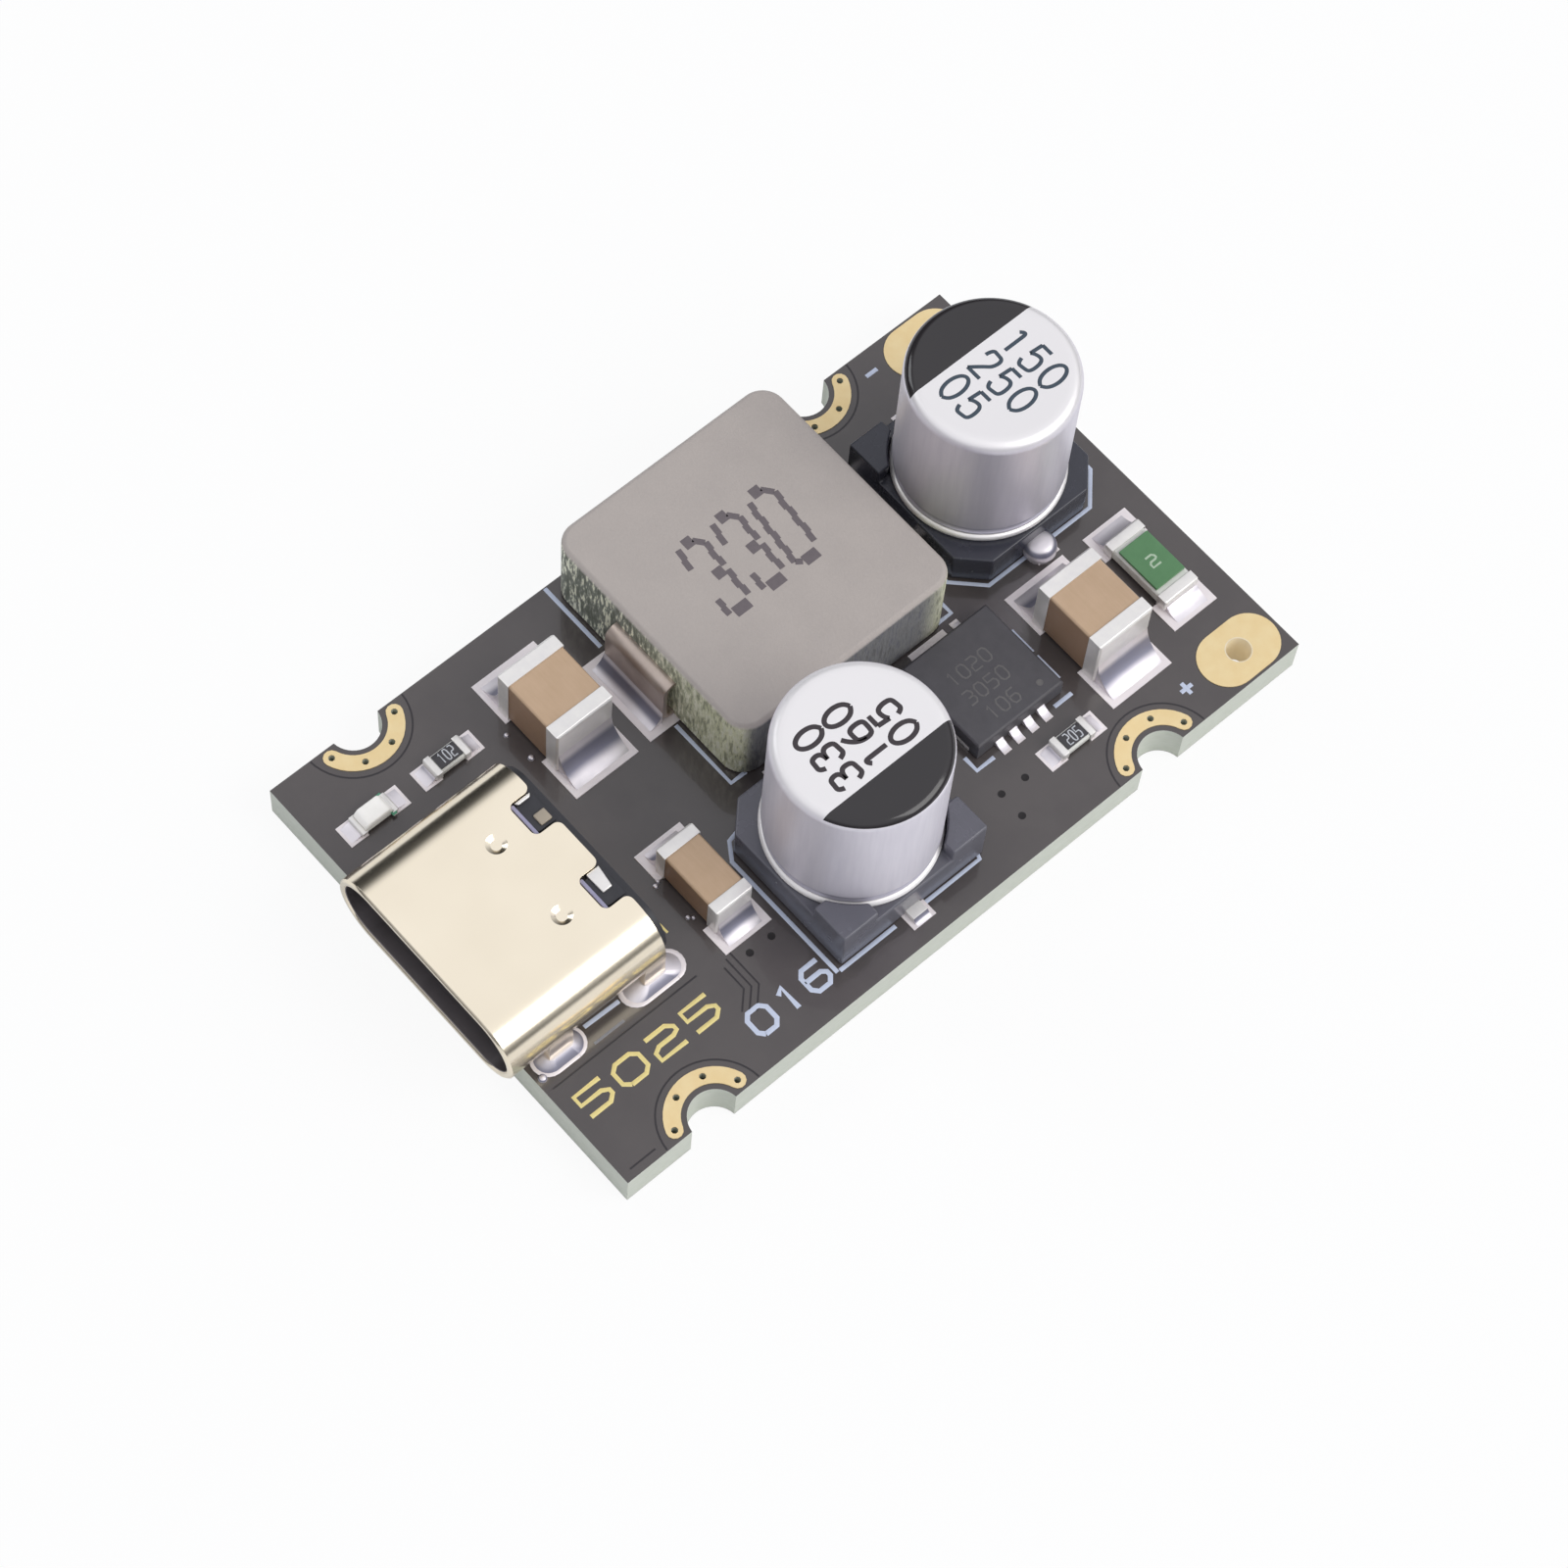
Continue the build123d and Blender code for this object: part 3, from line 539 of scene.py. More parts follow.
def strokes(name, lines, width, z, material, thickness=0.024, rounded=False):
    """Printed lines of one width, in millimetres: a flattened bead along each run of points."""
    data = bpy.data.curves.new(name, "CURVE")
    data.dimensions = "3D"
    data.bevel_depth = width / 2 * MM
    data.bevel_resolution = 1
    data.use_fill_caps = True
    for points in lines:
        spline = data.splines.new("NURBS" if rounded else "POLY")
        spline.points.add(len(points) - 1)
        for place, (x, y) in zip(spline.points, points):
            place.co = (x * MM, y * MM, 0, 1)
        if rounded:
            spline.order_u = 3
            spline.use_endpoint_u = True
            spline.resolution_u = 6
    piece = bpy.data.objects.new(name, data)
    bpy.context.scene.collection.objects.link(piece)
    only(piece)
    bpy.ops.object.convert(target="MESH")
    piece = bpy.context.object
    piece.scale = (1, 1, thickness / width)
    piece.location = (0, 0, z)
    return settle(piece, material, angle=50)


# Figures as pen strokes in a cell one unit wide and one high, for signs made of plain numbers

OVAL = [(0.5 + 0.52 * math.sin(math.tau * i / 12), 0.5 - 0.53 * math.cos(math.tau * i / 12))
        for i in range(13)]
ROUND_FIGURES = {
    "0": [OVAL],
    "1": [[(0.2, 0.78), (0.55, 1), (0.55, 0.5), (0.55, 0)]],
    "2": [[(0.05, 0.72), (0.12, 1.02), (0.5, 1), (0.98, 0.98), (0.95, 0.6), (0.5, 0.35), (0, 0)],
          [(0, 0), (1, 0)]],
    "3": [[(0.05, 0.8), (0.15, 1.02), (0.5, 1), (0.95, 0.98), (0.95, 0.55), (0.4, 0.54)],
          [(0.4, 0.54), (1.05, 0.54), (1.02, 0.02), (0.5, 0), (0.1, -0.02), (0, 0.22)]],
    "5": [[(0.92, 1), (0.15, 1)], [(0.15, 1), (0.08, 0.52)],
          [(0.08, 0.52), (0.3, 0.64), (0.95, 0.66), (1, 0.05), (0.5, 0), (0.1, -0.02), (0, 0.2)]],
    "6": [[(0.8, 1), (0.1, 0.75), (-0.05, 0.05), (0.5, 0), (1, 0.02), (1, 0.6), (0.5, 0.62),
           (0.1, 0.58), (0.03, 0.3)]],
}

CUT = 0.22
SQUARE_FIGURES = {
    "0": [[(CUT, 0), (1 - CUT, 0), (1, CUT), (1, 1 - CUT), (1 - CUT, 1), (CUT, 1), (0, 1 - CUT),
           (0, CUT), (CUT, 0)]],
    "1": [[(0.25, 0.8), (0.55, 1), (0.55, 0)]],
    "2": [[(0, 1), (1 - CUT, 1), (1, 1 - CUT), (1, 0.6), (0.8, 0.5), (CUT, 0.5), (0, 0.35), (0, 0),
           (1, 0)]],
    "3": [[(0, 1), (1 - CUT, 1), (1, 1 - CUT), (1, 0.62), (0.8, 0.5), (1, 0.38), (1, CUT),
           (1 - CUT, 0), (0, 0)], [(0.3, 0.5), (0.8, 0.5)]],
    "5": [[(1, 1), (0, 1), (0, 0.56), (1 - CUT, 0.56), (1, 0.4), (1, CUT), (1 - CUT, 0), (0, 0)]],
    "6": [[(1, 1), (CUT, 1), (0, 1 - CUT), (0, CUT), (CUT, 0), (1 - CUT, 0), (1, CUT), (1, 0.4),
           (0.8, 0.55), (0, 0.55)]],
}


def written(figures, text, start, reading, upward, width, height, pitch):
    """The strokes of a number, from its first figure's lower left corner."""
    lines = []
    for index, figure in enumerate(text):
        for line in figures[figure]:
            run = []
            for u, v in line:
                across = index * pitch + u * width
                x = start[0] + reading[0] * across + upward[0] * v * height
                y = start[1] + reading[1] * across + upward[1] * v * height
                run.append((x, y))
            lines.append(run)
    return lines


# Every finish by its short name

FINISH = {
    "mask": solder_mask(),
    "gold": gold_plate(),
    "land": tinned_land(),
    "shell": nickel_sheet(),
    "moulding": port_moulding(),
    "contact": contact_gold(),
    "solder": bright_solder(),
    "powder": pressed_powder(),
    "strap": strap_copper(),
    "end": plated_end(),
    "alumina": plain_coat("white alumina", tint(232, 232, 226), tint(214, 214, 208),
                          roughness=0.5, grain_size=0.05 * MM),
    "green": plain_coat("green glaze", tint(88, 138, 90), tint(72, 122, 76),
                        roughness=0.25, grain_size=0.1 * MM, coat=0.3),
    "black": plain_coat("black glaze", tint(40, 38, 42), tint(56, 54, 58),
                        roughness=0.25, grain_size=0.1 * MM, coat=0.3),
    "resin": lens_resin(),
    "epoxy": plain_coat("dark chip epoxy", tint(80, 78, 82), tint(68, 66, 70),
                        roughness=0.45, grain_size=0.04 * MM),
    # The gold in the holes glows a little: painted light in the shaded bores.
    "hole": plain_coat("dull gold in the holes", tint(232, 220, 192), tint(218, 204, 174),
                       roughness=0.6, grain_size=0.1 * MM, glow=0.15),
    "post": plain_coat("tan moulded post", tint(176, 164, 146), tint(150, 140, 126),
                       roughness=0.4, grain_size=0.05 * MM),
    "lilac": plain_coat("lilac moulded lip", tint(168, 164, 190), tint(140, 138, 164),
                        roughness=0.35, grain_size=0.05 * MM),
    "mask shade": ink("mask in the grooves", tint(36, 32, 36), tint(46, 42, 45), 0.35),
    "via": ink("sunk via", tint(22, 19, 21), tint(32, 28, 30), 0.7),
    "silk": ink("white board print", tint(212, 219, 236), tint(192, 202, 224), 0.5),
    "pale line": ink("pale board line", tint(150, 150, 154), tint(132, 132, 138), 0.5),
    "gold print": ink("gold board figures", tint(244, 228, 160), tint(232, 212, 136), 0.35, metallic=0.3),
    "figure ink": ink("grey marking ink", tint(98, 90, 94), tint(112, 104, 106), 0.6),
    "front can ink": ink("black can print", tint(44, 38, 42), tint(58, 50, 54), 0.3),
    "rear can ink": ink("blue-black can print", tint(46, 60, 72), tint(62, 76, 90), 0.3),
    "chip print": ink("faint chip print", tint(108, 106, 104), tint(84, 82, 84), 0.5),
    "fuse print": ink("pale fuse print", tint(190, 208, 184), tint(164, 190, 162), 0.5),
    "led mark": ink("green band", tint(62, 142, 108), tint(88, 160, 128), 0.4),
    "resistor print": ink("pale resistor print", tint(206, 208, 212), tint(180, 184, 190), 0.5),
}


# Board

dress("circuit_board", FINISH["mask"])
dress("notch_rings", FINISH["gold"])
dress("power_pads", FINISH["gold"])
dress("component_lands", FINISH["land"])

# Places on the board are in millimetres from its middle: outlines round the parts, then plus and minus
SILK_WIDTH = 0.16
SILK_LINES = [
    [(-9.3, -3.28), (-6.3, -3.28)],
    [(-2.32, -3.28), (0.57, -3.28), (0.57, -2.6)],
    [(-0.1, 6.96), (0.57, 6.96), (0.57, 6.3)],
    [(8.2, -5.1), (8.2, -2.57)],
    [(2.01, -3.95), (2.18, -4.77), (2.83, -5.22), (8.2, -5.2)],
    [(8.2, -1.3), (8.2, 1.3), (7.75, 1.46)],
    [(2.01, -3.95), (2.01, -2.6)],
    [(-1.3, 7.68), (-0.42, 7.68), (0.62, 8.72), (0.62, 10.65)],
    [(0.62, 11.8), (0.62, 13.6), (-0.5, 14.68), (-1.6, 14.68)],
    [(4.2, -12.98), (4.24, -11.48)],
    [(5.04, 3.5), (5.68, 3.5), (5.68, 4.3)],
    [(5.6, 7.22), (5.6, 8.05)],
    [(2.44, 8.1), (3.55, 8.1)],
    [(3.75, 8.1), (4.9, 8.1)],
    [(1.2, 4.58), (1.2, 6.06)],
    [(1.16, 6.64), (1.26, 6.64)],
    [(7.79, 11.24), (8.31, 11.24)],
    [(8.05, 10.98), (8.05, 11.16)],
    [(8.05, 11.32), (8.05, 11.5)],
    [(-8.48, 11.1), (-8.48, 11.62)],
]
strokes("board_outlines", SILK_LINES, SILK_WIDTH, MASK_Z, FINISH["silk"])

READ_ACROSS = (0, 1)
UP_LEFT = (-1, 0)
gold_lines = written(SQUARE_FIGURES, "5025", (6.8, -14.88), READ_ACROSS, UP_LEFT,
                     width=1.1, height=0.9, pitch=1.55)
strokes("board_gold_figures", gold_lines, 0.17, MASK_Z, FINISH["gold print"])
white_lines = written(SQUARE_FIGURES, "016", (8.32, -8.7), READ_ACROSS, UP_LEFT,
                      width=0.85, height=0.95, pitch=1.2)
strokes("board_white_figures", white_lines, 0.19, MASK_Z, FINISH["silk"])

HAIRLINE = 0.006
strokes("pale_board_line", [[(4.88, -13.1), (4.88, -11.8)]], 0.1, MASK_Z, FINISH["pale line"],
        thickness=HAIRLINE)
strokes("gold_board_line", [[(2.97, -8.61), (3.4, -8.6)]], 0.09, MASK_Z, FINISH["gold print"],
        thickness=0.01)

MASK_GROOVES = [
    [(5.22, -15.2), (5.22, -8.9)],
    [(9.02, -15.1), (9.02, -14.0)],
    [(5.6, -8.0), (6.6, -8.0), (7.2, -8.6)],
    [(5.4, -7.75), (6.7, -7.75), (7.35, -8.4)],
    [(5.2, -7.5), (6.8, -7.5), (7.5, -8.2)],
]


def ring_of(centre, radius, start, end, steps):
    """Points round a centre, with the angles in degrees from +X."""
    turns = [math.radians(start + (end - start) * i / steps) for i in range(steps + 1)]
    return [(centre[0] + radius * math.cos(a), centre[1] + radius * math.sin(a)) for a in turns]


NOTCHES = [(-9.45, -11.72), (9.45, -11.72), (-9.45, 8.87), (9.45, 8.87)]
GROOVE_RADIUS = 2.02
GROOVE_HALF_SWEEP = 86
for x, y in NOTCHES:
    middle = 180 if x > 0 else 0
    MASK_GROOVES.append(ring_of((x, y), GROOVE_RADIUS, middle - GROOVE_HALF_SWEEP,
                                middle + GROOVE_HALF_SWEEP, steps=24))
# The grooves are dark painted lines: painted shade where the mask dips.
strokes("mask_grooves", MASK_GROOVES, 0.07, MASK_Z, FINISH["mask shade"],
        thickness=HAIRLINE)

VIA_RADIUS = 0.14
VIA_RIM = 0.03
VIA_HEIGHT = 0.02
VIA_DEPTH = 0.008


def sunk_via(name, centre):
    """A small hole closed by the mask: a shallow cup with a narrow rim."""
    bpy.ops.object.select_all(action="DESELECT")
    bpy.ops.mesh.primitive_cylinder_add(vertices=16, radius=VIA_RADIUS * MM, depth=VIA_HEIGHT * MM,
                                        location=(centre[0] * MM, centre[1] * MM, MASK_Z))
    via = bpy.context.object
    via.name = name
    bpy.ops.object.transform_apply(location=True, rotation=True, scale=True)
    select_faces(via, lambda face: face.normal.z > 0.9)
    bpy.ops.mesh.inset(thickness=VIA_RIM * MM, depth=0)
    bpy.ops.transform.translate(value=(0, 0, -VIA_DEPTH * MM))
    bpy.ops.object.mode_set(mode="OBJECT")
    return via


VIAS = [(6.94, 4.59), (6.88, 3.54), (7.94, 3.52), (5.76, -6.02), (5.75, -6.98)]
vias = join("mask_vias", [sunk_via(f"via_{i}", place) for i, place in enumerate(VIAS)])
# The vias' cups are painted near black: painted shade in the sunk holes.
settle(vias, FINISH["via"], angle=20)

BOARD_TOP = 1.6
HOLE_RADIUS = 0.5
SLEEVE_BORE = 0.46
FLANGE_RADIUS = 0.9
FLANGE_Z = -0.02
SLEEVE = [(SLEEVE_BORE, FLANGE_Z), (FLANGE_RADIUS, FLANGE_Z), (FLANGE_RADIUS, 0.0), (HOLE_RADIUS, 0.0),
          (HOLE_RADIUS, BOARD_TOP + 0.002), (SLEEVE_BORE, BOARD_TOP), (SLEEVE_BORE, FLANGE_Z)]
for side, centre in (("left", (-8.15, 13.68)), ("right", (8.15, 13.68))):
    sleeve = lathe(f"{side}_wire_hole_sleeve", SLEEVE, centre, steps=40)
    settle(sleeve, FINISH["hole"])


# Cans

CAN_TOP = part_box("front_capacitor_can")[1].z / MM
CAN_CROWN = CAN_TOP - 0.015
CAN_FOOT = 3.0
CAN_WALL = 3.1
CAN_LIP = 3.17
CAN_EDGE = 0.42
LIP_ROUND = 0.16
FRONT_CAN = (4.84, -1.7)
REAR_CAN = (-2.72, 11.11)


def can_profile():
    """From the middle of the foot out, over the rolled lip and the groove, up the wall and back in."""
    lip_round = arc(CAN_LIP - LIP_ROUND, CAN_FOOT + LIP_ROUND, LIP_ROUND, -90, 75, 7)
    groove = arc(CAN_WALL + 0.05, CAN_FOOT + 0.56, 0.2, 235, 125, 7)
    shoulder = arc(CAN_WALL - CAN_EDGE, CAN_TOP - CAN_EDGE, CAN_EDGE, 0, 82, 10)
    return [(0, CAN_FOOT), *lip_round, *groove, (CAN_WALL, CAN_FOOT + 0.8), *shoulder,
            (CAN_WALL - 0.55, CAN_CROWN), (0, CAN_CROWN)]


def capacitor(place, centre, turn, chord, mirror, base_light, base_dark):
    """A can on its base. With turn 1 the half-moon is on the right, and with -1 on the left."""
    middle = Vector((centre[0], centre[1], 0)) * MM
    finish = can_aluminium(f"{place} can aluminium", middle, CAN_TOP * MM, turn, chord * MM, mirror)
    can = lathe(f"{place}_can_finished", can_profile(), centre)
    settle(can, finish, angle=30)
    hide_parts(f"{place}_capacitor_can")
    base = base_plastic(f"{place} black base plastic", base_light, base_dark)
    eased(f"{place}_capacitor_base", base, 0.08 * MM, segments=3)
    eased(f"{place}_capacitor_leads", FINISH["end"], 0.04 * MM)


def can_figures(place, centre, turn, rows, first, row_gap, height, line):
    """Rows of figures on a can's top. The front can's stand upside down to the rear can's."""
    lines = []
    for row, text in enumerate(rows):
        start = (centre[0] + turn * first[0], centre[1] + turn * (first[1] + row_gap * row))
        lines += written(ROUND_FIGURES, text, start, (-turn, 0), (0, -turn),
                         width=0.6, height=height, pitch=0.92)
    strokes(f"{place}_can_figures", lines, line, CAN_CROWN * MM, FINISH[f"{place} can ink"],
            rounded=True)


# Both bases are one black plastic: the front one is painted lighter and the rear one darker, as painted
# light and painted shade.
capacitor("front", FRONT_CAN, turn=1, chord=1.2, mirror=0.36,
          base_light=tint(90, 90, 98), base_dark=tint(102, 101, 110))
can_figures("front", FRONT_CAN, turn=1, rows=("330", "160", "05"), first=(0.9, -0.75),
            row_gap=1.26, height=1.02, line=0.18)
capacitor("rear", REAR_CAN, turn=-1, chord=1.1, mirror=0.65,
          base_light=tint(48, 49, 58), base_dark=tint(58, 59, 68))
can_figures("rear", REAR_CAN, turn=-1, rows=("150", "250", "05"), first=(0.7, -0.84),
            row_gap=1.43, height=1.12, line=0.145)
eased("capacitor_lead_solder", FINISH["solder"], 0.04 * MM)

# The rear can's inner lead ends in a ball of solder
BLOB_FOOT = 1.58
BLOB = [(0, BLOB_FOOT), (0.54, BLOB_FOOT), *arc(0.24, 1.94, 0.4, -45, 90, 9), (0, 2.37)]
blob = lathe("rear_lead_solder_blob", BLOB, (0.74, 10.98), steps=40)
settle(blob, FINISH["solder"], angle=60)


# Inductor

eased("inductor_body", FINISH["powder"], 0.06 * MM, segments=3, limit=20)

# Figures as a needle marker prints them: dashed sides, a bar across each turn, in a cell one by one
FIGURE_FOOT = (-2.92, -0.43)
FIGURE_WIDTH = 1.06
FIGURE_HEIGHT = 3.14
FIGURE_PITCH = 1.56
FIGURE_LEAN = 0.33
JOG = 0.028
DASH = 0.36
SIDE_RUNS = {
    "3": [((0, 1.0), (0, 0.72)), ((0.92, 0.88), (0.94, 0.54)),
          ((0.94, 0.47), (0.98, 0.1)), ((0.02, 0.26), (0.1, 0.04))],
    "0": [((0, 0.94), (0, 0.07)), ((0.95, 0.87), (1, 0.13))],
}
CORNERS = {
    "3": [((0.62, 0.99), (0.92, 0.88))],
    "0": [((0.62, 0.99), (0.95, 0.87)), ((0, 0.07), (0.22, 0.02))],
}
CROSS_BARS = {
    "3": [((0.28, 1), (0.64, 1)), ((0.48, 0.5), (0.86, 0.5)), ((0.24, 0.02), (0.86, 0.02))],
    "0": [((0.24, 1), (0.64, 1)), ((0.26, 0.01), (0.84, 0.01))],
}


def on_inductor(index, u, v):
    """A place in one figure's cell. The figures read along Y and lean a little."""
    y = FIGURE_FOOT[1] + index * FIGURE_PITCH + u * FIGURE_WIDTH + v * FIGURE_LEAN
    return (FIGURE_FOOT[0] - v * FIGURE_HEIGHT, y)


def dashed(start, end):
    """A run made of short dashes that step to and fro, as a needle marker prints it."""
    length = math.dist(start, end)
    count = max(2, round(length / DASH))
    across = ((end[1] - start[1]) / length * JOG, (start[0] - end[0]) / length * JOG)
    dashes = []
    for i in range(count):
        sign = 1 if i % 2 else -1
        ends = []
        for share in (i / count, (i + 1) / count):
            x = start[0] + (end[0] - start[0]) * share + sign * across[0]
            y = start[1] + (end[1] - start[1]) * share + sign * across[1]
            ends.append((x, y))
        dashes.append(ends)
    return dashes


side_dashes, bars = [], []
for index, figure in enumerate("330"):
    for start, end in SIDE_RUNS[figure]:
        side_dashes += dashed(on_inductor(index, *start), on_inductor(index, *end))
    for start, end in CORNERS[figure]:
        side_dashes.append([on_inductor(index, *start), on_inductor(index, *end)])
    for start, end in CROSS_BARS[figure]:
        bars.append([on_inductor(index, *start), on_inductor(index, *end)])
inductor_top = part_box("inductor_body")[1].z
for name, lines, width in (("sides", side_dashes, 0.24), ("bars", bars, 0.44)):
    strokes(f"inductor_figure_{name}", lines, width, inductor_top, FINISH["figure ink"],
            thickness=0.02)
eased("inductor_straps", FINISH["strap"], 0.05 * MM)
eased("inductor_solder", FINISH["solder"], 0.05 * MM)


# Chips

for chip in ("left_ceramic", "right_ceramic", "middle_ceramic"):
    ceramic = fired_ceramic(f"{chip} tan fired ceramic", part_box(f"{chip}_body")[1].z)
    eased(f"{chip}_body", ceramic, 0.05 * MM)
    eased(f"{chip}_caps", FINISH["end"], 0.1 * MM, segments=3, limit=20)
for chip in ("fuse", "led_resistor", "sense_resistor"):
    eased(f"{chip}_substrate", FINISH["alumina"], 0.02 * MM)
    eased(f"{chip}_caps", FINISH["end"], 0.04 * MM, limit=20)

GLAZE_SHARE = 0.86


def draw_in(cover):
    """The glaze stops short of the chip's plated ends."""
    select_faces(cover, lambda face: True)
    bpy.ops.transform.resize(value=(GLAZE_SHARE, 1, 1))
    bpy.ops.object.mode_set(mode="OBJECT")


eased("fuse_cover", FINISH["green"], 0.03 * MM, shape=draw_in)
for chip in ("led_resistor", "sense_resistor"):
    eased(f"{chip}_coat", FINISH["black"], 0.02 * MM)
eased("led_substrate", FINISH["alumina"], 0.02 * MM)
eased("led_lens", FINISH["resin"], 0.1 * MM, segments=4)
eased("led_ends", FINISH["end"], 0.03 * MM)
eased("chip_solder", FINISH["solder"], 0.05 * MM)


def top_of(node):
    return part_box(node)[1].z


def printed(name, node, rows, width, height, pitch, line, material):
    """Small figures on top of a part, each row with its own text and lower left corner."""
    lines = []
    for text, start in rows:
        lines += written(SQUARE_FIGURES, text, start, READ_ACROSS, UP_LEFT, width, height, pitch)
    strokes(name, lines, line, top_of(node), material, thickness=0.012)


for chip, text, start in (("led_resistor", "102", (-6.13, -10.45)), ("sense_resistor", "205", (7.18, 6.45))):
    printed(f"{chip}_figures", f"{chip}_coat", [(text, start)], width=0.15, height=0.44, pitch=0.235,
            line=0.05, material=FINISH["resistor print"])
printed("fuse_figure", "fuse_cover", [("2", (4.08, 13.32))], width=0.36, height=0.44, pitch=0.4,
        line=0.085, material=FINISH["fuse print"])
LED_MARKS = [[(x, -12.92), (x, -12.74)] for x in (-6.75, -5.91)]
strokes("led_marks", LED_MARKS, 0.15, top_of("led_substrate"), FINISH["led mark"],
        thickness=0.08)


# Controller

eased("controller_body", FINISH["epoxy"], 0.03 * MM)
dress("controller_lead_frame", FINISH["end"])
eased("controller_solder", FINISH["solder"], 0.05 * MM)
CONTROLLER_ROWS = [("1020", (3.1, 4.7)), ("3050", (4.0, 4.7)), ("106", (4.9, 4.9))]
printed("controller_figures", "controller_body", CONTROLLER_ROWS, width=0.34, height=0.55, pitch=0.5,
        line=0.07, material=FINISH["chip print"])
DOT = [(0, 0), (0.13, 0), (0.12, 0.01), (0, 0.01)]
dot = lathe("controller_pin_mark", DOT, (4.85, 7.1), steps=24)
dot.location.z = top_of("controller_body") - 0.002 * MM
settle(dot, FINISH["chip print"])


# Port

WINDOW_SIDES = (1.045, 2.495)
WINDOW_FLARE = 0.26 * MM
NEARLY = 0.01 * MM


def flare_windows(shell):
    """Rounds the rear corners of the two windows, where the sheet was pressed open."""
    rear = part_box("usb_shell")[1].y
    select_faces(shell, lambda face: False)
    bpy.ops.object.mode_set(mode="OBJECT")
    points = [vertex.co for vertex in shell.data.vertices]
    for edge in shell.data.edges:
        a, b = (points[i] for i in edge.vertices)
        upright = math.dist(a.xy, b.xy) < WELD
        at_side = min(abs(abs(a.x) - side * MM) for side in WINDOW_SIDES) < NEARLY
        edge.select = upright and at_side and abs(a.y - rear) < NEARLY
    bpy.ops.object.mode_set(mode="EDIT")
    bpy.ops.mesh.select_mode(type="EDGE")
    bpy.ops.mesh.bevel(offset=WINDOW_FLARE, segments=5, affect="EDGES")
    bpy.ops.object.mode_set(mode="OBJECT")


DENT_PLACES = [Vector((x, -11.82)) * MM for x in (-1.68, 1.68)]
DENT_RADIUS = 0.385 * MM
DENT_REACH = 0.21 * MM


def soften_dents(shell):
    """Halves the depth of the two spring dents in the top, so that their walls slope gently."""
    top_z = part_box("usb_shell")[1].z

    def in_dent(face):
        near = min((face.center.xy - place).length for place in DENT_PLACES) < DENT_RADIUS
        return near and NEARLY < top_z - face.center.z < DENT_REACH

    def on_floor(face):
        return in_dent(face) and face.normal.z > 0.99

    select_faces(shell, in_dent)
    bpy.ops.transform.resize(value=(1, 1, 0.5), center_override=(0, 0, top_z))
    for wanted in (in_dent, on_floor):
        select_faces(shell, wanted)
        bpy.ops.mesh.region_to_loop()
        bpy.ops.mesh.mark_sharp()
    bpy.ops.object.mode_set(mode="OBJECT")


def press_shell(shell):
    flare_windows(shell)
    soften_dents(shell)


eased("usb_shell", FINISH["shell"], 0.04 * MM, segments=3, limit=30, shape=press_shell)
dress("usb_mid_plate", FINISH["shell"])
eased("usb_insulator", FINISH["moulding"], 0.05 * MM)
for node in ("usb_upper_contacts", "usb_lower_contacts"):
    dress(node, FINISH["contact"])
eased("usb_leg_solder", FINISH["solder"], 0.05 * MM)


def oval(x, y, length, width, steps=10):
    """A closed run of points with straight sides along Y and round ends."""
    radius = width / 2
    straight = length / 2 - radius
    points = ring_of((x, y + straight), radius, 0, 180, steps)
    points += ring_of((x, y - straight), radius, 180, 360, steps)
    return points + points[:1]


LEG_X = 4.32
LEG_RING_WIDTH = 1.0
leg_rings = []
for side in (-1, 1):
    for y, length in ((-14.2, 1.9), (-10.1, 2.4)):
        leg_rings.append(oval(side * LEG_X, y, length, LEG_RING_WIDTH))
strokes("leg_rings", leg_rings, 0.26, MASK_Z + 0.02 * MM, FINISH["land"], thickness=0.1)

BOSS_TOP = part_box("usb_insulator")[1].z / MM


def in_window(name, low, high, rise, edge, finish):
    """A small block standing on the moulding inside a window, between two corners in the plane."""
    piece = block(name, (*low, BOSS_TOP - 0.03), (*high, BOSS_TOP + rise))
    round_edges(piece, edge * MM, segments=3)
    return settle(piece, finish)


in_window("left_window_lip", (-2.46, -10.58), (-1.1, -10.44), rise=0.07, edge=0.03,
          finish=FINISH["lilac"])
in_window("right_window_lip", (1.08, -10.58), (2.44, -10.44), rise=0.07, edge=0.03,
          finish=FINISH["lilac"])
in_window("left_window_post", (-1.74, -10.2), (-1.27, -9.72), rise=0.09, edge=0.05,
          finish=FINISH["post"])

TAB_TAPER = 0.72


def window_tab(name, low, high, lean):
    """A tab of bright sheet, narrower towards its free end."""
    tab = block(name, (*low, BOSS_TOP + 0.005), (*high, BOSS_TOP + 0.1))
    select_faces(tab, lambda face: face.normal.x > 0.9)
    bpy.ops.transform.resize(value=(1, TAB_TAPER, 1))
    bpy.ops.transform.translate(value=(0, lean * MM, 0))
    bpy.ops.object.mode_set(mode="OBJECT")
    round_edges(tab, 0.035 * MM, segments=3)
    return settle(tab, FINISH["end"])


window_tab("right_window_tab", (1.07, -10.26), (1.92, -9.72), lean=-0.05)
window_tab("left_window_tab", (-2.46, -10.4), (-2.33, -9.72), lean=0.0)


# Stray solder

BEAD = [(0, 0), (1, 0), (0.94, 0.35), (0.7, 0.62), (0.35, 0.78), (0, 0.82)]


def solder_speck(name, centre, radius):
    """A bead that stuck to the mask, a little flatter than a ball."""
    profile = [(r * radius, MASK_Z / MM + h * radius) for r, h in BEAD]
    return lathe(name, profile, centre, steps=16)


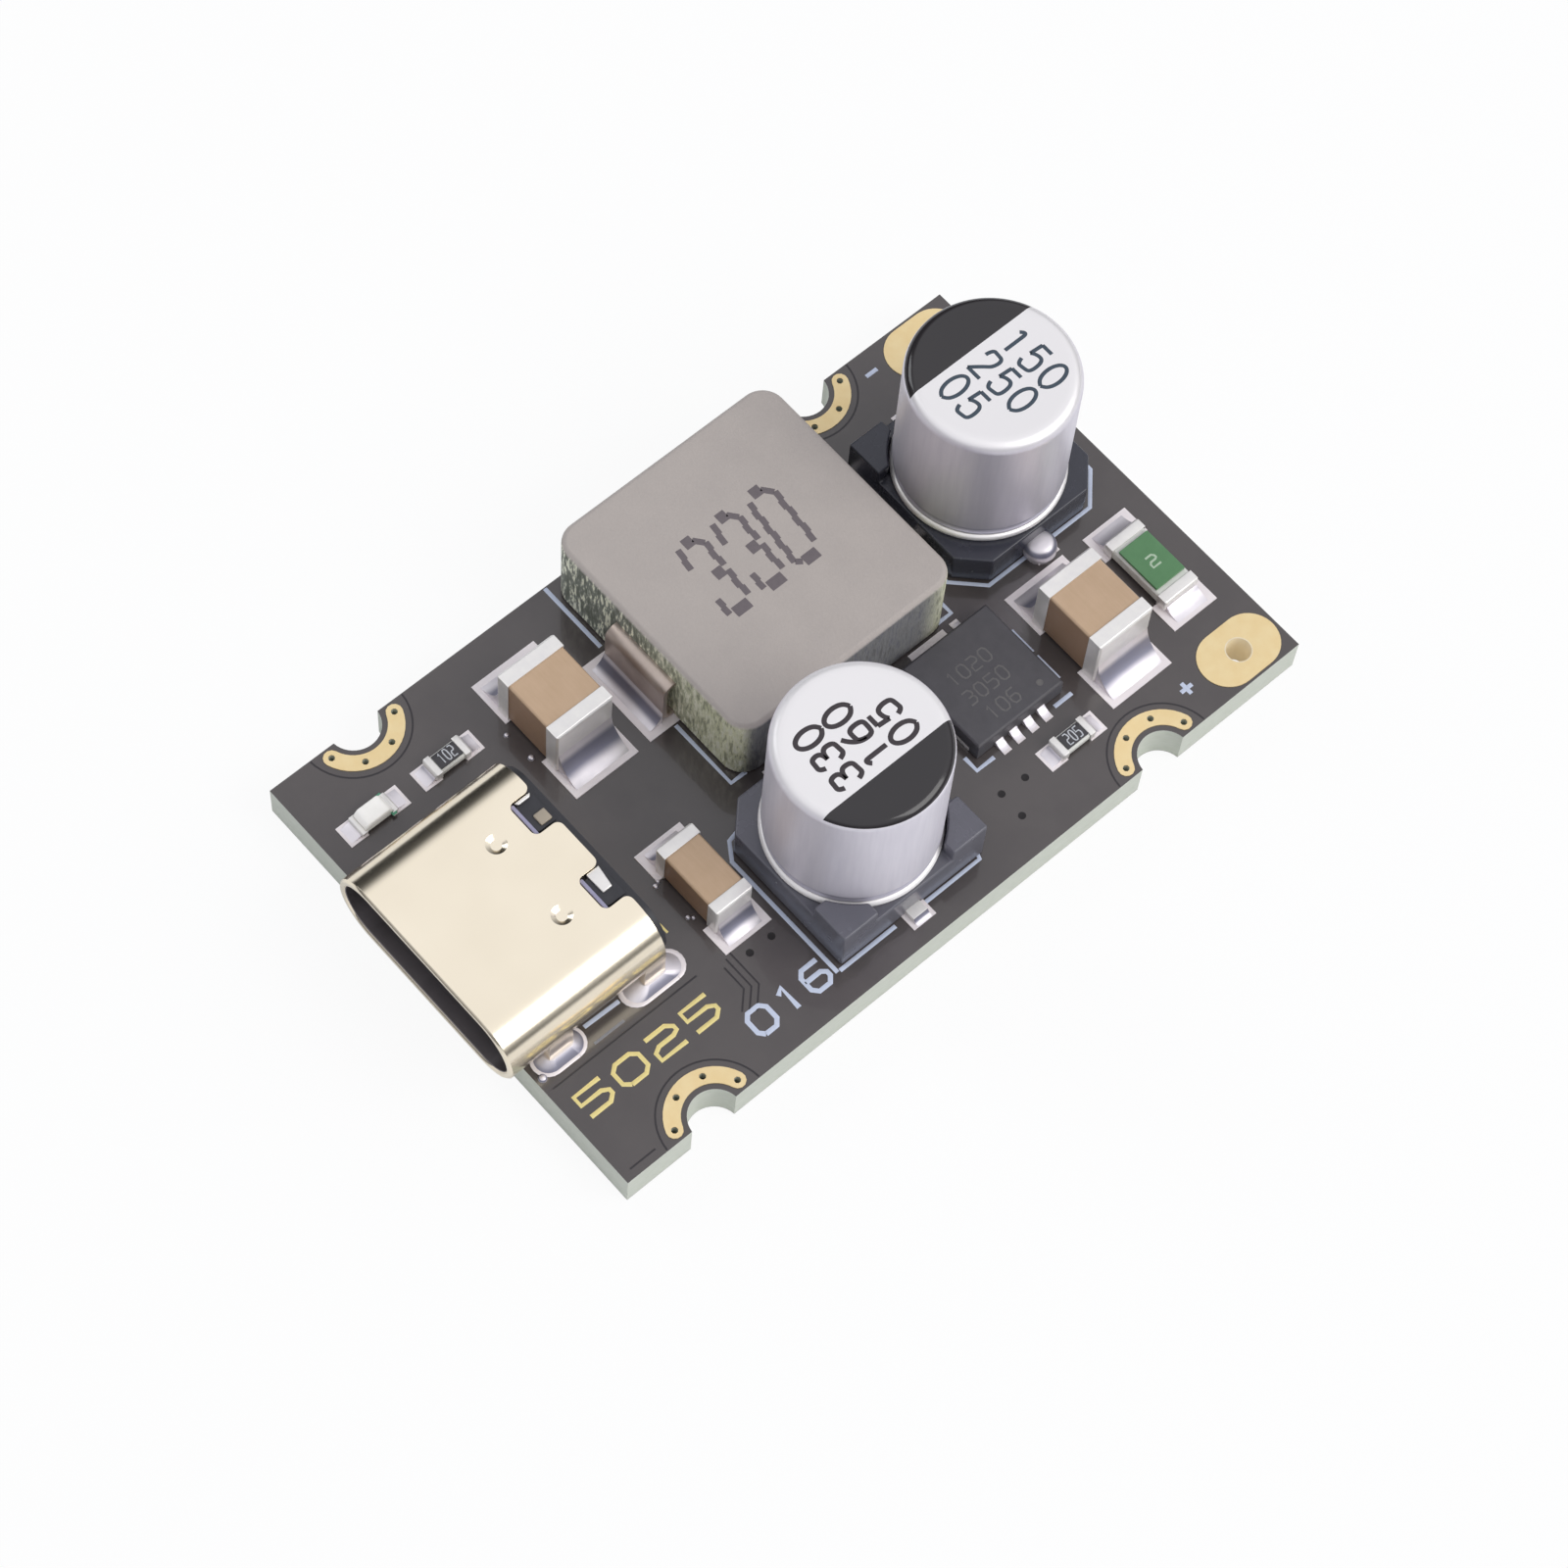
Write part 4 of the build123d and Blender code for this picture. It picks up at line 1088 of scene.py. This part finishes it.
SPECKS = [((4.72, -15.22), 0.16), ((1.84, -7.8), 0.11), ((1.76, -7.62), 0.08), ((3.42, -7.72), 0.09),
          ((3.55, -7.58), 0.07), ((-5.78, -7.98), 0.1), ((-4.57, -7.89), 0.12)]
beads = [solder_speck(f"speck_{i}", centre, radius) for i, (centre, radius) in enumerate(SPECKS)]
settle(join("stray_solder_specks", beads), FINISH["solder"], angle=50)


# Camera, as the photograph was taken

FOCAL_LENGTH = 102.9
AZIMUTH = math.radians(42.84)
ELEVATION = math.radians(64.01)
ROLL = math.radians(6.26)
DISTANCE = 153.52 * MM
TARGET = Vector((1.78, -1.93, 1.6)) * MM


def add_camera():
    back = Vector((math.sin(AZIMUTH) * math.cos(ELEVATION),
                   -math.cos(AZIMUTH) * math.cos(ELEVATION), math.sin(ELEVATION)))
    right = Vector((0, 0, 1)).cross(back).normalized()
    up = back.cross(right)
    across = math.cos(ROLL) * right + math.sin(ROLL) * up
    upward = math.cos(ROLL) * up - math.sin(ROLL) * right
    bpy.ops.object.camera_add()
    camera = bpy.context.object
    turn = Matrix((across, upward, back)).transposed().to_4x4()
    camera.matrix_world = Matrix.Translation(TARGET + back * DISTANCE) @ turn
    camera.data.lens = FOCAL_LENGTH
    camera.data.sensor_width = 36.0
    camera.data.clip_start = 0.005
    camera.data.clip_end = 10.0
    bpy.context.scene.camera = camera


def add_lamp(name, location, size, energy, colour):
    bpy.ops.object.light_add(type="AREA", location=location)
    lamp = bpy.context.object
    lamp.name = name
    lamp.data.shape = "RECTANGLE"
    lamp.data.size, lamp.data.size_y = size
    lamp.data.energy = energy
    lamp.data.color = colour
    lamp.rotation_euler = (-Vector(location)).to_track_quat("-Z", "Y").to_euler()


WHITE = (1.0, 1.0, 1.0, 1.0)
ROOM_LIGHT = (0.92, 0.94, 1.0, 1.0)
ROOM_STRENGTH = 0.66
MIRRORED_ROOM = (0.95, 0.96, 1.0, 1.0)
PAPER = (0.9, 0.9, 0.9, 1.0)
PAPER_GLOW = 0.9


def add_world():
    """An even pale room. Metal mirrors it darker near the horizon and on the left."""
    world = bpy.data.worlds.new("pale room")
    bpy.context.scene.world = world
    room = Nodes(world)
    by_camera = room.node("ShaderNodeLightPath", output="Is Camera Ray")
    direction = room.node("ShaderNodeTexCoord", output="Generated")
    x = room.node("ShaderNodeSeparateXYZ", inputs={0: direction})
    rise = x.beside(2).fade(0.05, 0.6, start=0.12)
    rightwards = x.fade(-0.85, -0.45, start=0.06)
    mirrored = room.node("ShaderNodeBackground",
                         inputs={"Color": MIRRORED_ROOM, "Strength": rise * rightwards})
    lit = room.node("ShaderNodeBackground", inputs={"Color": ROOM_LIGHT, "Strength": ROOM_STRENGTH})
    white = room.node("ShaderNodeBackground", inputs={"Color": WHITE})
    glossy = room.node("ShaderNodeMixShader",
                       inputs={0: by_camera.beside("Is Glossy Ray"), 1: lit, 2: mirrored})
    seen = by_camera.most(by_camera.beside("Is Transmission Ray"))
    shown = room.node("ShaderNodeMixShader", inputs={0: seen, 1: glossy, 2: white})
    room.node("ShaderNodeOutputWorld", inputs={"Surface": shown})


def add_floor():
    """White paper under the board: it keeps the shadow and glows to white for the camera alone."""
    bpy.ops.mesh.primitive_plane_add(size=3.0, location=(0, 0, -0.01 * MM))
    floor = bpy.context.object
    floor.name = "studio_floor"
    f = Finish("white paper floor")
    by_camera = f.node("ShaderNodeLightPath", output="Is Camera Ray")
    paper = f.node("ShaderNodeBsdfDiffuse", inputs={"Color": PAPER}, output="BSDF")
    glow = f.node("ShaderNodeEmission", inputs={"Color": WHITE, "Strength": 1.0})
    mixed = f.node("ShaderNodeMixShader", inputs={0: by_camera * PAPER_GLOW, 1: paper, 2: glow})
    floor.data.materials.append(f.show(mixed))


add_world()
add_floor()
add_lamp("key_softbox", location=(0.36, 0.2, 0.36), size=(0.4, 0.34), energy=1.4,
         colour=(1.0, 0.99, 0.97))
add_lamp("fill_softbox", location=(-0.45, -0.1, 0.3), size=(0.2, 0.2), energy=0.42,
         colour=(0.95, 0.97, 1.0))
add_camera()

bpy.context.scene.view_settings.view_transform = "Standard"
